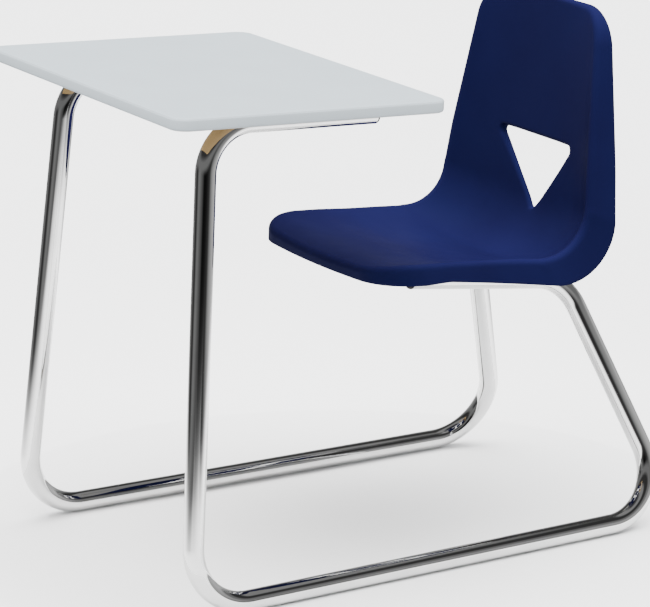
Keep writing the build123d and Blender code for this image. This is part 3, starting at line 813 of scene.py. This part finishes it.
# %% Sewing the sheet
def seat_sheet():
    """Vertices in metres and faces of the shell's outer sheet."""
    vertices = list(sitting_face(grid[..., 0].ravel(), grid[..., 1].ravel()))
    number = np.arange((COLUMNS + 1) * (ROWS + 1)).reshape(COLUMNS + 1, ROWS + 1)
    faces = []
    for i in range(COLUMNS):
        for j in range(ROWS):
            if left_column <= i < right_column and bottom_row <= j < top_row:
                continue
            faces.append((number[i, j], number[i + 1, j], number[i + 1, j + 1], number[i, j + 1]))

    def sew(first, rows, inward):
        previous = first
        for row in rows:
            current = list(range(len(vertices), len(vertices) + len(row)))
            vertices.extend(row)
            for k in range(len(row)):
                after = (k + 1) % len(row)
                face = (previous[k], current[k], current[after], previous[after])
                faces.append(face[::-1] if inward else face)
            previous = current

    rim_first = [number[COLUMNS // 2 + k, 0] for k in range(COLUMNS // 2)]
    rim_first += [number[COLUMNS, k] for k in range(ROWS)]
    rim_first += [number[COLUMNS - k, ROWS] for k in range(COLUMNS)]
    rim_first += [number[0, ROWS - k] for k in range(ROWS)]
    rim_first += [number[k, 0] for k in range(COLUMNS // 2)]
    sew(rim_first, rim_rows, False)
    sew([number[i, j] for i, j in window], ring_rows + hole_rows, True)
    return np.array(vertices) * MM, faces


def solid_sheet(piece, wall, edge):
    """Thickens a sheet behind its faces and breaks its sharp edges."""
    thicken = piece.modifiers.new("wall", "SOLIDIFY")
    thicken.thickness = wall
    thicken.offset = -1.0
    thicken.use_even_offset = True
    soften = piece.modifiers.new("edges", "BEVEL")
    soften.width = edge
    soften.segments = 2
    soften.limit_method = "ANGLE"
    soften.angle_limit = math.radians(50)
    return applied(piece)


SHELL_EDGE = 0.8 * MM
seat_vertices, seat_faces = seat_sheet()
seat = mesh_piece("seat_shell_moulding", seat_vertices, seat_faces)
clean = bmesh.new()
clean.from_mesh(seat.data)
bmesh.ops.delete(clean, geom=[v for v in clean.verts if not v.link_faces], context="VERTS")
clean.to_mesh(seat.data)
clean.free()
seat = solid_sheet(seat, SHELL_WALL * MM, SHELL_EDGE)
seat.data.materials.append(NAVY)
hand_over(seat, "navy_plastic", "seat_shell")
seat_points = np.array([v.co for v in seat.data.vertices])
print("seat box", seat_points.min(0).round(4), seat_points.max(0).round(4))

# %% [markdown]
# ## Bosses under the pan
# Screws need more plastic than a 4.5 mm wall, so four bosses stand on the two flat seat bars and
# run up into the pan, each stiffened by a cross of thin ribs. Their tops have no shape of their
# own: every point rides up the boss's axis until it meets the underside of the pan.

# %% Bosses and ribs
SEAT_BAR_SETBACKS = (45 * MM, 180 * MM)
SEAT_BAR_RISE = 8 * MM
SEAT_SCREW_X = 78 * MM
BAR_THICKNESS = 4.8 * MM
BOSS_R, RIB_SPAN, RIB_WIDTH, RIB_RELIEF = 13 * MM, 60 * MM, 3 * MM, 5 * MM
BOSS_SINK = 2 * MM  # how far the tops run on into the shell's wall
BOSS_STEPS, RIB_STEPS, RIB_COUNT = 40, 6, 4
ALONG_RAIL = Vector((0, math.cos(RAIL_PITCH), -math.sin(RAIL_PITCH)))
OFF_RAIL = Vector((0, math.sin(RAIL_PITCH), math.cos(RAIL_PITCH)))


def on_rail(x, along, above):
    """A point given from the rails' front end, along their slope and square above it."""
    return Vector((x, RAIL_FRONT.y, RAIL_FRONT.z)) + ALONG_RAIL * along + OFF_RAIL * above


def column(base_outline, foot, shell_tree, sink):
    """Vertices and faces of a closed column from an outline up to the underside of the shell."""
    bottom = [p + OFF_RAIL * foot for p in base_outline]
    top = []
    for point in bottom:
        hit = shell_tree.ray_cast(point, OFF_RAIL)[0]
        top.append(hit + OFF_RAIL * sink)
    count = len(bottom)
    faces = [(k, (k + 1) % count, count + (k + 1) % count, count + k) for k in range(count)]
    faces += [tuple(range(count - 1, -1, -1)), tuple(range(count, 2 * count))]
    return bottom + top, faces


def on_bar(x, setback):
    """A point on the upper face of a seat bar."""
    return on_rail(x, setback, SEAT_BAR_RISE)


def boss_outline(centre_x, setback):
    """A circle round a screw's axis."""
    angles = [2 * math.pi * k / BOSS_STEPS for k in range(BOSS_STEPS)]
    return [on_bar(centre_x + BOSS_R * math.cos(a), setback + BOSS_R * math.sin(a)) for a in angles]


def rib_outline(centre_x, setback, angle):
    """A thin rectangle off the boss at an angle, with points along its two long sides."""
    start, end = BOSS_R - MM, RIB_SPAN / 2
    out = [start + (end - start) * k / RIB_STEPS for k in range(RIB_STEPS + 1)]
    line = [(a, -RIB_WIDTH / 2) for a in out] + [(a, RIB_WIDTH / 2) for a in reversed(out)]
    cosine, sine = math.cos(angle), math.sin(angle)
    turned = [(a * cosine - b * sine, a * sine + b * cosine) for a, b in line]
    return [on_bar(centre_x + x, setback + along) for x, along in turned]


def boss_mesh():
    depsgraph = bpy.context.evaluated_depsgraph_get()
    shell_tree = BVHTree.FromObject(seat, depsgraph)
    vertices, faces = [], []

    def add(made):
        start = len(vertices)
        vertices.extend(made[0])
        faces.extend([tuple(start + k for k in face) for face in made[1]])

    for setback in SEAT_BAR_SETBACKS:
        for side in (-1, 1):
            centre_x = side * SEAT_SCREW_X
            add(column(boss_outline(centre_x, setback), 0.0, shell_tree, BOSS_SINK))
            for rib in range(RIB_COUNT):
                outline = rib_outline(centre_x, setback, rib * math.pi / 2)
                add(column(outline, RIB_RELIEF, shell_tree, BOSS_SINK))
    return vertices, faces


boss_piece = mesh_piece("seat_shell_bosses", *boss_mesh())
for face in boss_piece.data.polygons:
    face.use_smooth = False
boss_piece.data.materials.append(NAVY)
hand_over(boss_piece, "navy_plastic", "seat_shell")

# %% [markdown]
# ## The writing top
# A flat moulded slab, 24 by 18 inches, with rounded corners and a small round all along both
# edges. It is cut from its own rule: one rounded rectangle, drawn in as the edge rolls over. Two
# round-bottomed grooves let the arms into its underside, so a rod a touch thicker than the arm,
# run on past the plug's head, cuts each one.


# %% Writing top
TOP_CORNER_R, TOP_EDGE_R, EDGE_FACETS, CORNER_FACETS = 25 * MM, 4 * MM, 6, 12
GROOVE_PLAY, GROOVE_RUN_ON = 0.2 * MM, 5.5 * MM
# A face is grey where its normal points up by more than FACE_UP, tan where it points down by
# more than FACE_DOWN, and edge band between the two. The edge band is painted paler as painted
# light against the shade on the upright faces.
FACE_UP, FACE_DOWN = 0.5, -0.9


def rounded_rectangle(width, depth, radius, steps):
    """Points (x, along) round a rectangle whose front edge is at 0."""
    points = []
    for corner_x, corner_y, first in ((1, 1, 0), (-1, 1, 1), (-1, 0, 2), (1, 0, 3)):
        centre = (corner_x * (width / 2 - radius), depth - radius if corner_y else radius)
        for step in range(steps + 1):
            angle = math.pi / 2 * (first + step / steps)
            x, along = radius * math.cos(angle), radius * math.sin(angle)
            points.append((centre[0] + x, centre[1] + along))
    return points


def desk_top_mesh(corner_r, edge_r, steps):
    """Rows of the rounded rectangle from the middle of the upper face round to the lower face."""
    rows = [(6 * edge_r, 0.0), (1.5 * edge_r, 0.0)]
    for step in range(steps + 1):
        angle = math.pi / 2 * step / steps
        rows.append((edge_r * (1 - math.sin(angle)), edge_r * (1 - math.cos(angle))))
    rows = rows + [(inset, TOP_THICKNESS - drop) for inset, drop in reversed(rows)]
    vertices, faces = [], []
    for inset, drop in rows:
        width, depth = TOP_WIDTH - 2 * inset, TOP_DEPTH - 2 * inset
        outline = rounded_rectangle(width, depth, corner_r - inset, CORNER_FACETS)
        vertices += [on_top(x, along + inset, -drop) for x, along in outline]
    count = len(outline)
    for row in range(len(rows) - 1):
        for k in range(count):
            after = (k + 1) % count
            upper, lower = row * count, (row + 1) * count
            faces.append((upper + k, lower + k, lower + after, upper + after))
    faces.append(tuple(range(count)))
    last = (len(rows) - 1) * count
    faces.append(tuple(range(last + count - 1, last - 1, -1)))
    return vertices, faces


def grooved(top, play, run_on):
    """Cuts the arms' grooves and keeps the faces flat up to the cut."""
    (arm_end, bend), *others = TUBE_CORNERS[:3]
    corners = [(arm_end + ALONG_TOP * run_on, bend), *others]
    cutters = [bent_rod("groove", side, corners, TUBE_R + play) for side in (1, -1)]
    for cutter in cutters:
        cut = top.modifiers.new("groove", "BOOLEAN")
        cut.object = cutter
        cut.operation = "DIFFERENCE"
        cut.solver = "EXACT"
    top = applied(top)
    for cutter in cutters:
        bpy.data.objects.remove(cutter)
    top.data.set_sharp_from_angle(angle=math.radians(35))
    return top


writing_top = mesh_piece("desk_top_moulding", *desk_top_mesh(TOP_CORNER_R, TOP_EDGE_R, EDGE_FACETS))
writing_top = grooved(writing_top, GROOVE_PLAY, GROOVE_RUN_ON)
writing_top.data.materials.clear()
for finish in (GREY, EDGE_BAND_PAINTED_PALER, BACKER):
    writing_top.data.materials.append(finish)
# Upright faces take the edge band, painted paler as painted light against their shade.
for face in writing_top.data.polygons:
    face.material_index = int(face.normal.z < FACE_UP) + int(face.normal.z < FACE_DOWN)
hand_over(writing_top, "grey_top", "desk_top")

# %% [markdown]
# ## Turned pieces
# Plugs, screws and washers are all turned shapes: a half section spun about an axis. Each kind is
# spun once, then Geometry Nodes put copies at their places, turned by an attribute on the points.


# %% Spun sections
def spun(name, section, steps):
    """Closed mesh from (radius, height) pairs. Radius 0 closes an end; a ring section joins up."""
    vertices, faces, rings = [], [], []
    for radius, height in section:
        if radius < 1e-7:
            rings.append([len(vertices)])
            vertices.append((0.0, 0.0, height))
            continue
        rings.append(list(range(len(vertices), len(vertices) + steps)))
        angles = [2 * math.pi * k / steps for k in range(steps)]
        vertices += [(radius * math.cos(a), radius * math.sin(a), height) for a in angles]
    pairs = list(zip(rings, rings[1:]))
    if len(rings[0]) > 1:
        pairs.append((rings[-1], rings[0]))
    for upper, lower in pairs:
        for k in range(steps):
            after = (k + 1) % steps
            if len(upper) == 1:
                faces.append((upper[0], lower[k], lower[after]))
            elif len(lower) == 1:
                faces.append((upper[k], lower[0], upper[after]))
            else:
                faces.append((upper[k], lower[k], lower[after], upper[after]))
    return mesh_piece(name, vertices, faces)


def edges_broken(piece, width):
    """Takes the sharpness off the edges of a small piece."""
    soften = piece.modifiers.new("edges", "BEVEL")
    soften.width = width
    soften.segments = 2
    soften.limit_method = "ANGLE"
    soften.angle_limit = math.radians(40)
    return applied(piece)


# %% Geometry Nodes tree for placed copies
def placed_copies_tree():
    """Points in, copies of one piece out, each turned by the point attribute 'turn'."""
    tree = bpy.data.node_groups.new("placed_copies", "GeometryNodeTree")
    face = tree.interface
    face.new_socket("Places", in_out="INPUT", socket_type="NodeSocketGeometry")
    face.new_socket("Piece", in_out="INPUT", socket_type="NodeSocketObject")
    face.new_socket("Finish", in_out="INPUT", socket_type="NodeSocketMaterial")
    face.new_socket("Copies", in_out="OUTPUT", socket_type="NodeSocketGeometry")
    source = tree.nodes.new("NodeGroupInput")
    turn_name = tree.nodes.new("GeometryNodeInputNamedAttribute")
    turn_name.data_type = "FLOAT_VECTOR"
    turn_name.inputs["Name"].default_value = "turn"
    turn_of = tree.nodes.new("FunctionNodeEulerToRotation")
    info = tree.nodes.new("GeometryNodeObjectInfo")
    points = tree.nodes.new("GeometryNodeMeshToPoints")
    place = tree.nodes.new("GeometryNodeInstanceOnPoints")
    realize = tree.nodes.new("GeometryNodeRealizeInstances")
    finish = tree.nodes.new("GeometryNodeSetMaterial")
    result = tree.nodes.new("NodeGroupOutput")
    link(tree, source.outputs["Places"], points.inputs["Mesh"])
    link(tree, points.outputs["Points"], place.inputs["Points"])
    link(tree, source.outputs["Piece"], info.inputs["Object"])
    link(tree, info.outputs["Geometry"], place.inputs["Instance"])
    link(tree, turn_name.outputs["Attribute"], turn_of.inputs["Euler"])
    link(tree, turn_of.outputs["Rotation"], place.inputs["Rotation"])
    link(tree, place.outputs["Instances"], realize.inputs["Geometry"])
    link(tree, realize.outputs["Geometry"], finish.inputs["Geometry"])
    link(tree, source.outputs["Finish"], finish.inputs["Material"])
    link(tree, finish.outputs["Geometry"], result.inputs["Copies"])
    return tree


PLACED_COPIES = placed_copies_tree()
print("made the tree", PLACED_COPIES.name)


def copies_of(piece, name, places, axis, slot, finish, *replaced):
    """One mesh with a copy of the piece at each place, its own Z laid along an axis."""
    turn = Vector(axis).to_track_quat("Z", "Y").to_euler()
    mesh = bpy.data.meshes.new(name)
    mesh.from_pydata([tuple(p) for p in places], [], [])
    attribute = mesh.attributes.new("turn", "FLOAT_VECTOR", "POINT")
    attribute.data.foreach_set("vector", [angle for p in places for angle in turn])
    made = bpy.data.objects.new(name, mesh)
    bpy.context.scene.collection.objects.link(made)
    made = with_nodes(made, PLACED_COPIES, {"Piece": piece, "Finish": finish})
    hand_over(made, slot, *replaced)
    return made


# %% [markdown]
# The plugs keep the tube's open ends from cutting anyone. A domed head as wide as the tube stops
# against its end, and a hollow ribbed spigot grips the bore.

# %% Tube plugs
BORE_R = TUBE_R - 1.6 * MM
SPIGOT_R, SPIGOT_LENGTH, PLUG_HEAD = BORE_R - 0.15 * MM, 22 * MM, 4.5 * MM
SPIGOT_CORE_R, SPIGOT_BORE_R = SPIGOT_R - 1.5 * MM, SPIGOT_R - 3.5 * MM
SPIGOT_RIBS, DOME_FACETS = 3, 8


def plug_section():
    """From the middle of the domed head, down the ribbed spigot and up inside it."""
    dome = 0.8 * PLUG_HEAD
    section = [(0.0, PLUG_HEAD), (TUBE_R - dome, PLUG_HEAD)]
    for step in range(1, DOME_FACETS + 1):
        angle = math.pi / 2 * step / DOME_FACETS
        radius = TUBE_R - dome + dome * math.sin(angle)
        section.append((radius, PLUG_HEAD - dome + dome * math.cos(angle)))
    section += [(TUBE_R, 0.0), (SPIGOT_R, 0.0)]
    for rib in range(SPIGOT_RIBS):
        top = -rib * SPIGOT_LENGTH / SPIGOT_RIBS
        section += [(SPIGOT_R, top - 1.5 * MM), (SPIGOT_CORE_R, top - 3 * MM)]
        if rib < SPIGOT_RIBS - 1:
            section += [(SPIGOT_CORE_R, top - 6 * MM), (SPIGOT_R, top - 7 * MM)]
    section += [(SPIGOT_CORE_R, -SPIGOT_LENGTH), (SPIGOT_BORE_R, -SPIGOT_LENGTH)]
    section += [(SPIGOT_BORE_R, -0.5 * MM), (0.0, -0.5 * MM)]
    return section


plug = spun("plug", plug_section(), 56)
ends = [(f"{name}_arm", on_top(side * ARM_X, ARM_END, ARM_DROP), ALONG_TOP) for name, side in SIDES]
ends += [(f"{name}_rail", on_rail(side * RAIL_X, 0.0, 0.0), -ALONG_RAIL) for name, side in SIDES]
for name, place, axis in ends:
    copies_of(plug, f"{name}_plug", [place], axis, "black_plastic", BLACK, f"{name}_end_plug")
bpy.data.objects.remove(plug)

# %% [markdown]
# Pan head screws with a crossed recess and a plain washer hold both plastic parts. A Boolean cuts
# the recess once, in the pattern that is copied.

# %% Screws and washers
HEAD_R, HEAD_HEIGHT, SHANK_R = 4.8 * MM, 3.2 * MM, 2.4 * MM
WASHER_R, WASHER_THICKNESS, WASHER_PLAY, WASHER_EDGE = 7 * MM, 1.2 * MM, 0.2 * MM, 0.2 * MM
RECESS_HALF_WIDTH, RECESS_DEPTH = 0.5 * MM, 1.8 * MM
SPIN_STEPS, HEAD_FACETS = 40, 6


def screw_section(length):
    """From the middle of the head, which points down, up the shank to its tip."""
    dome = 0.6 * HEAD_HEIGHT
    section = [(0.0, length), (SHANK_R / 2, length), (SHANK_R, length - SHANK_R / 2)]
    section += [(SHANK_R, 0.0), (HEAD_R, 0.0), (HEAD_R, dome - HEAD_HEIGHT)]
    for step in range(1, HEAD_FACETS + 1):
        angle = math.pi / 2 * step / HEAD_FACETS
        radius = HEAD_R - dome + dome * math.cos(angle)
        section.append((radius, dome - HEAD_HEIGHT - dome * math.sin(angle)))
    return section + [(0.0, -HEAD_HEIGHT)]


def crossed_recess():
    """A plus sign that stands through the head's face: one arm's corners, turned four times."""
    outline, arm, half = [], HEAD_R / 2, RECESS_HALF_WIDTH
    for along_x, along_y in ((1, 0), (0, 1), (-1, 0), (0, -1)):
        for out, across in ((arm, -half), (arm, half), (half, half)):
            outline.append((out * along_x - across * along_y, out * along_y + across * along_x))
    low, high = -HEAD_HEIGHT - MM, RECESS_DEPTH - HEAD_HEIGHT
    vertices = [(x, y, low) for x, y in outline] + [(x, y, high) for x, y in outline]
    count = len(outline)
    faces = [(k, (k + 1) % count, count + (k + 1) % count, count + k) for k in range(count)]
    faces += [tuple(range(count - 1, -1, -1)), tuple(range(count, 2 * count))]
    return mesh_piece("recess", vertices, faces)


def pan_head_screw(name, length):
    """A screw with its recess cut."""
    screw, recess = spun(name, screw_section(length), SPIN_STEPS), crossed_recess()
    cut = screw.modifiers.new("recess", "BOOLEAN")
    cut.object = recess
    cut.operation = "DIFFERENCE"
    cut.solver = "EXACT"
    screw = applied(screw)
    bpy.data.objects.remove(recess)
    return screw


def bar_places(point_on, xs, setbacks, drop):
    """Places of the screws or washers under a pair of bars."""
    return [point_on(x, setback, drop) for setback in setbacks for x in xs]


DESK_BAR_SETBACKS = (195 * MM, 345 * MM)
desk_xs, seat_xs = (-150 * MM, 0.0, 150 * MM), (-SEAT_SCREW_X, SEAT_SCREW_X)
desk_bar_bottom = -TOP_THICKNESS - BAR_THICKNESS
seat_bar_bottom = SEAT_BAR_RISE - BAR_THICKNESS
inner, lower = SHANK_R + WASHER_PLAY, -WASHER_THICKNESS
ring_section = [(WASHER_R, 0), (inner, 0), (inner, lower), (WASHER_R, lower)]
ring = edges_broken(spun("washer", ring_section, SPIN_STEPS), WASHER_EDGE)
sets = (
    ("desk", on_top, desk_xs, DESK_BAR_SETBACKS, desk_bar_bottom, OFF_TOP, 10 * MM),
    ("seat", on_rail, seat_xs, SEAT_BAR_SETBACKS, seat_bar_bottom, OFF_RAIL, 8 * MM),
)
zinc = ("zinc_steel", ZINC)
for where, point_on, xs, setbacks, drop, axis, bite in sets:
    pattern = pan_head_screw("screw", WASHER_THICKNESS + BAR_THICKNESS + bite)
    screw_places = bar_places(point_on, xs, setbacks, drop - WASHER_THICKNESS)
    washer_places = bar_places(point_on, xs, setbacks, drop)
    copies_of(pattern, f"{where}_pan_head_screws", screw_places, axis, *zinc, f"{where}_screws")
    copies_of(ring, f"{where}_flat_washers", washer_places, axis, *zinc, f"{where}_screw_washers")
    bpy.data.objects.remove(pattern)
bpy.data.objects.remove(ring)

# %% [markdown]
# The flat bars and their weld beads keep the frame's own bodies and take the plate's finish: the
# whole steel frame is plated after welding.

# %% Plated bars and welds
for name in sorted(nodes):
    if name.endswith("crossbar") or name.endswith("welds"):
        nodes[name].data.materials.clear()
        nodes[name].data.materials.append(CHROME)
        print("plated", name)

# %% [markdown]
# ## Floor, light and camera
# A wide pale floor runs out of the picture on every side. One wide diffuser overhead lights it
# all alike, a weak softbox lifts one side, and the world fills in a little from all round. The
# floor throws no light back up, so that the seat's sides stay deep, and the lamps don't show in
# the chrome. The world is paler for the camera alone, so that it meets the floor without a line.


# %% Floor
def pale_floor():
    material, tree, shader = new_material("pale_floor")
    cloud = noise_on_object(tree, 1.5, 3.0)
    two_shades(tree, shader, cloud, (0.86, 0.86, 0.86), (0.88, 0.88, 0.88))
    shader.inputs["Roughness"].default_value = 0.7
    return material


FLOOR_HALF = 20.0
corners = [(x * FLOOR_HALF, y * FLOOR_HALF, 0) for x, y in ((-1, -1), (1, -1), (1, 1), (-1, 1))]
floor = mesh_piece("floor", corners, [(0, 1, 2, 3)])
floor.data.materials.append(pale_floor())
floor.visible_diffuse = False
print("floor", 2 * FLOOR_HALF, "m square")

# %% Camera
CAMERA_PLACE = Vector((4.8008, -2.8878, 1.9058))
CAMERA_TARGET = Vector((-0.018, -0.0126, 0.3606))
camera_data = bpy.data.cameras.new("camera")
camera_data.lens, camera_data.sensor_width = 206.3, 36.0
camera = bpy.data.objects.new("camera", camera_data)
bpy.context.scene.collection.objects.link(camera)
camera.location = CAMERA_PLACE
camera.rotation_euler = (CAMERA_TARGET - CAMERA_PLACE).to_track_quat("-Z", "Y").to_euler()
bpy.context.scene.camera = camera
print("camera at", [round(v, 3) for v in camera.location])


# %% Lights
def softbox(name, place, target, width, height, power):
    """A rectangular lamp that faces a target."""
    data = bpy.data.lights.new(name, "AREA")
    data.shape = "RECTANGLE"
    data.size, data.size_y = width, height
    data.energy = power
    lamp = bpy.data.objects.new(name, data)
    lamp.location = place
    lamp.rotation_euler = (Vector(target) - Vector(place)).to_track_quat("-Z", "Y").to_euler()
    bpy.context.scene.collection.objects.link(lamp)
    return lamp


def around(azimuth, distance, height):
    """A place at an azimuth that turns left from the camera's, both seen from above."""
    start = math.atan2(CAMERA_PLACE.y, CAMERA_PLACE.x)
    angle = start - math.radians(azimuth)
    return Vector((distance * math.cos(angle), distance * math.sin(angle), height))


def overhead_diffuser(spread_angle, power):
    """A wide diffuser, so far up that it lights the whole floor alike."""
    data = bpy.data.lights.new("overhead_diffuser", "SUN")
    data.angle = math.radians(spread_angle)
    data.energy = power
    lamp = bpy.data.objects.new("overhead_diffuser", data)
    bpy.context.scene.collection.objects.link(lamp)
    return lamp


DIFFUSER_SPREAD, DIFFUSER_POWER = 75.0, 12.0
SIDE_PLACE, SIDE_TARGET = around(70, 3.2, 1.6), (0, 0, 0.4)
SIDE_WIDTH, SIDE_HEIGHT, SIDE_POWER = 1.1, 2.2, 15
overhead = overhead_diffuser(DIFFUSER_SPREAD, DIFFUSER_POWER)
side_light = softbox("right_tall", SIDE_PLACE, SIDE_TARGET, SIDE_WIDTH, SIDE_HEIGHT, SIDE_POWER)
for lamp in (overhead, side_light):
    lamp.visible_glossy = False
    print("lamp", lamp.name, [round(v, 2) for v in lamp.location])


# %% World
FILL_STRENGTH, SEEN_STRENGTH = 1.2, 4.5


def studio_world():
    """A pale world: a weak fill for the object, a bright distance for the camera."""
    world = bpy.data.worlds.new("studio")
    world.use_nodes = True
    tree = world.node_tree
    background = tree.nodes["Background"]
    background.inputs["Color"].default_value = (0.97, 0.985, 1.0, 1.0)
    seen = tree.nodes.new("ShaderNodeLightPath").outputs["Is Camera Ray"]
    strength = tree.nodes.new("ShaderNodeMapRange")
    strength.inputs["To Min"].default_value = FILL_STRENGTH
    strength.inputs["To Max"].default_value = SEEN_STRENGTH
    tree.links.new(seen, strength.inputs["Value"])
    tree.links.new(strength.outputs["Result"], background.inputs["Strength"])
    bpy.context.scene.world = world
    return world


print("made the world", studio_world().name)

# %% [markdown]
# Chrome shows whatever stands round it, and here that is a dark studio whose right side is pale. A
# half dome carries it. Round the bare middle of the floor the dome runs out as a ring, which holds
# a pool of light that reaches furthest toward the camera. Only reflections see the dome, so it
# hides nothing from any side and throws no shadow.


# %% Helpers for the reflected studio

def colour_socket(sockets, name):
    """The Mix node keeps a socket of each kind under one name."""
    return next(socket for socket in sockets if socket.name == name and socket.type == "RGBA")


def blended(tree, factor, first, second):
    """The first colour where the factor is 0, the second where it is 1."""
    node = tree.nodes.new("ShaderNodeMix")
    node.data_type = "RGBA"
    tree.links.new(factor, node.inputs[0])
    tree.links.new(first, colour_socket(node.inputs, "A"))
    tree.links.new(second, colour_socket(node.inputs, "B"))
    return colour_socket(node.outputs, "Result")


def spread_between(tree, source, low, high):
    """0 below low, 1 above high, eased between them."""
    node = tree.nodes.new("ShaderNodeMapRange")
    node.interpolation_type = "SMOOTHSTEP"
    node.inputs["From Min"].default_value = low
    node.inputs["From Max"].default_value = high
    tree.links.new(source, node.inputs["Value"])
    return node.outputs["Result"]


def grey_ramp(tree, source, stops):
    """A ramp of (position, brightness) stops."""
    return ramp(tree, source, [(place, (value, value, value)) for place, value in stops])


# %% Brightness of the reflected studio
# HORIZON and POOL_FADE go round once: 0 is behind, 0.25 left, 0.5 the camera's side, 0.75 right.
# CEILING goes from the floor, 0, to the pole, 1.
DOME_R, BARE_FLOOR_R, NEAR_FLOOR = 2.4, 0.62, 4.0
WALL_TOP, CEILING_START = 0.27, 0.42  # shares of the height between which walls turn to ceiling
CLIMB = 11.0  # how fast the pool fades up the wall
HORIZON = [
    (0.00, 0.40), (0.08, 0.60), (0.15, 0.25), (0.21, 0.20), (0.25, 0.05),
    (0.285, 0.05), (0.32, 0.23), (0.35, 0.25), (0.40, 0.15), (0.435, 0.08),
    (0.462, 0.008), (0.50, 0.008), (0.54, 0.017), (0.60, 0.06), (0.65, 0.30),
    (0.71, 0.55), (0.79, 0.75), (0.84, 0.75), (0.91, 0.60), (1.0, 0.40),
]
CEILING = [
    (0.0, 0.22), (0.50, 0.22), (0.60, 0.05), (0.76, 0.05), (0.84, 0.30), (0.93, 0.30), (0.98, 0.08),
]
POOL_FADE = [(0.0, 3.5), (0.36, 3.0), (0.44, 0.65), (0.56, 0.65), (0.62, 3.0), (1.0, 3.5)]
print("stops: horizon", len(HORIZON), "ceiling", len(CEILING), "pool", len(POOL_FADE))


# %% Material of the reflected studio
def reflected_studio():
    """Brightness round the horizon, from behind over the left to behind again, and overhead."""
    material = bpy.data.materials.new("reflected_studio")
    material.use_nodes = True
    tree = material.node_tree
    tree.nodes.clear()
    coordinates = tree.nodes.new("ShaderNodeTexCoord")
    axes = tree.nodes.new("ShaderNodeSeparateXYZ")
    tree.links.new(coordinates.outputs["Object"], axes.inputs["Vector"])

    def math_node(operation, first, second=0.0):
        node = tree.nodes.new("ShaderNodeMath")
        node.operation = operation
        for socket, value in zip(node.inputs, (first, second)):
            if isinstance(value, float):
                socket.default_value = value
            else:
                tree.links.new(value, socket)
        return node.outputs["Value"]

    x, y, z = (axes.outputs[axis] for axis in "XYZ")
    facing = math.atan2(CAMERA_PLACE.y, CAMERA_PLACE.x)
    share = math_node("DIVIDE", math_node("ARCTAN2", y, x), 2 * math.pi)
    turn = math_node("FRACT", math_node("ADD", share, 1.5 - facing / (2 * math.pi)))
    rise = math_node("DIVIDE", z, DOME_R)
    horizon = grey_ramp(tree, turn, HORIZON)
    ceiling = grey_ramp(tree, rise, CEILING)
    flat = math_node("ADD", math_node("POWER", x, 2.0), math_node("POWER", y, 2.0))
    past = math_node("SUBTRACT", math_node("POWER", flat, 0.5), BARE_FLOOR_R)
    walls = blended(tree, spread_between(tree, rise, WALL_TOP, CEILING_START), horizon, ceiling)
    fade = grey_ramp(tree, turn, POOL_FADE)
    faded = math_node("MULTIPLY", math_node("MULTIPLY", past, past), fade)
    falloff = math_node("ADD", faded, math_node("MULTIPLY", z, CLIMB))
    glowing = math_node("EXPONENT", math_node("MULTIPLY", falloff, -1.0))
    pool = math_node("MULTIPLY", glowing, NEAR_FLOOR)
    lit = tree.nodes.new("ShaderNodeVectorMath")
    tree.links.new(walls, lit.inputs[0])
    tree.links.new(pool, lit.inputs[1])
    glow = tree.nodes.new("ShaderNodeEmission")
    tree.links.new(lit.outputs["Vector"], glow.inputs["Color"])
    out = tree.nodes.new("ShaderNodeOutputMaterial")
    tree.links.new(glow.outputs["Emission"], out.inputs["Surface"])
    return material


# %% Half dome
DOME_SIDES, DOME_RINGS = 64, 16
FLOOR_GAP = 0.0006  # keeps the ring just clear of the floor


def half_dome():
    """Rings of points: out along the floor from the bare round of it, then up to a pole."""
    lifts = [math.pi / 2 * up / DOME_RINGS for up in range(DOME_RINGS)]
    rings = [(DOME_R * math.cos(lift), DOME_R * math.sin(lift)) for lift in lifts]
    vertices, faces = [], []
    for flat, height in [(BARE_FLOOR_R, 0.0), *rings]:
        for k in range(DOME_SIDES):
            angle = 2 * math.pi * k / DOME_SIDES
            vertices.append((flat * math.cos(angle), flat * math.sin(angle), height + FLOOR_GAP))
    for up in range(DOME_RINGS):
        for k in range(DOME_SIDES):
            after = (k + 1) % DOME_SIDES
            low, high = up * DOME_SIDES, (up + 1) * DOME_SIDES
            faces.append((low + k, high + k, high + after, low + after))
    pole, last = len(vertices), DOME_RINGS * DOME_SIDES
    vertices.append((0.0, 0.0, DOME_R))
    faces += [(last + k, pole, last + (k + 1) % DOME_SIDES) for k in range(DOME_SIDES)]
    return mesh_piece("reflected_dome", vertices, faces)


dome = half_dome()
dome.data.materials.append(reflected_studio())
dome.visible_camera = False
dome.visible_diffuse = False
dome.visible_shadow = False
dome.visible_transmission = False
dome.visible_volume_scatter = False
print("dome", round(DOME_R, 2), "m, rings of faces:", DOME_RINGS)
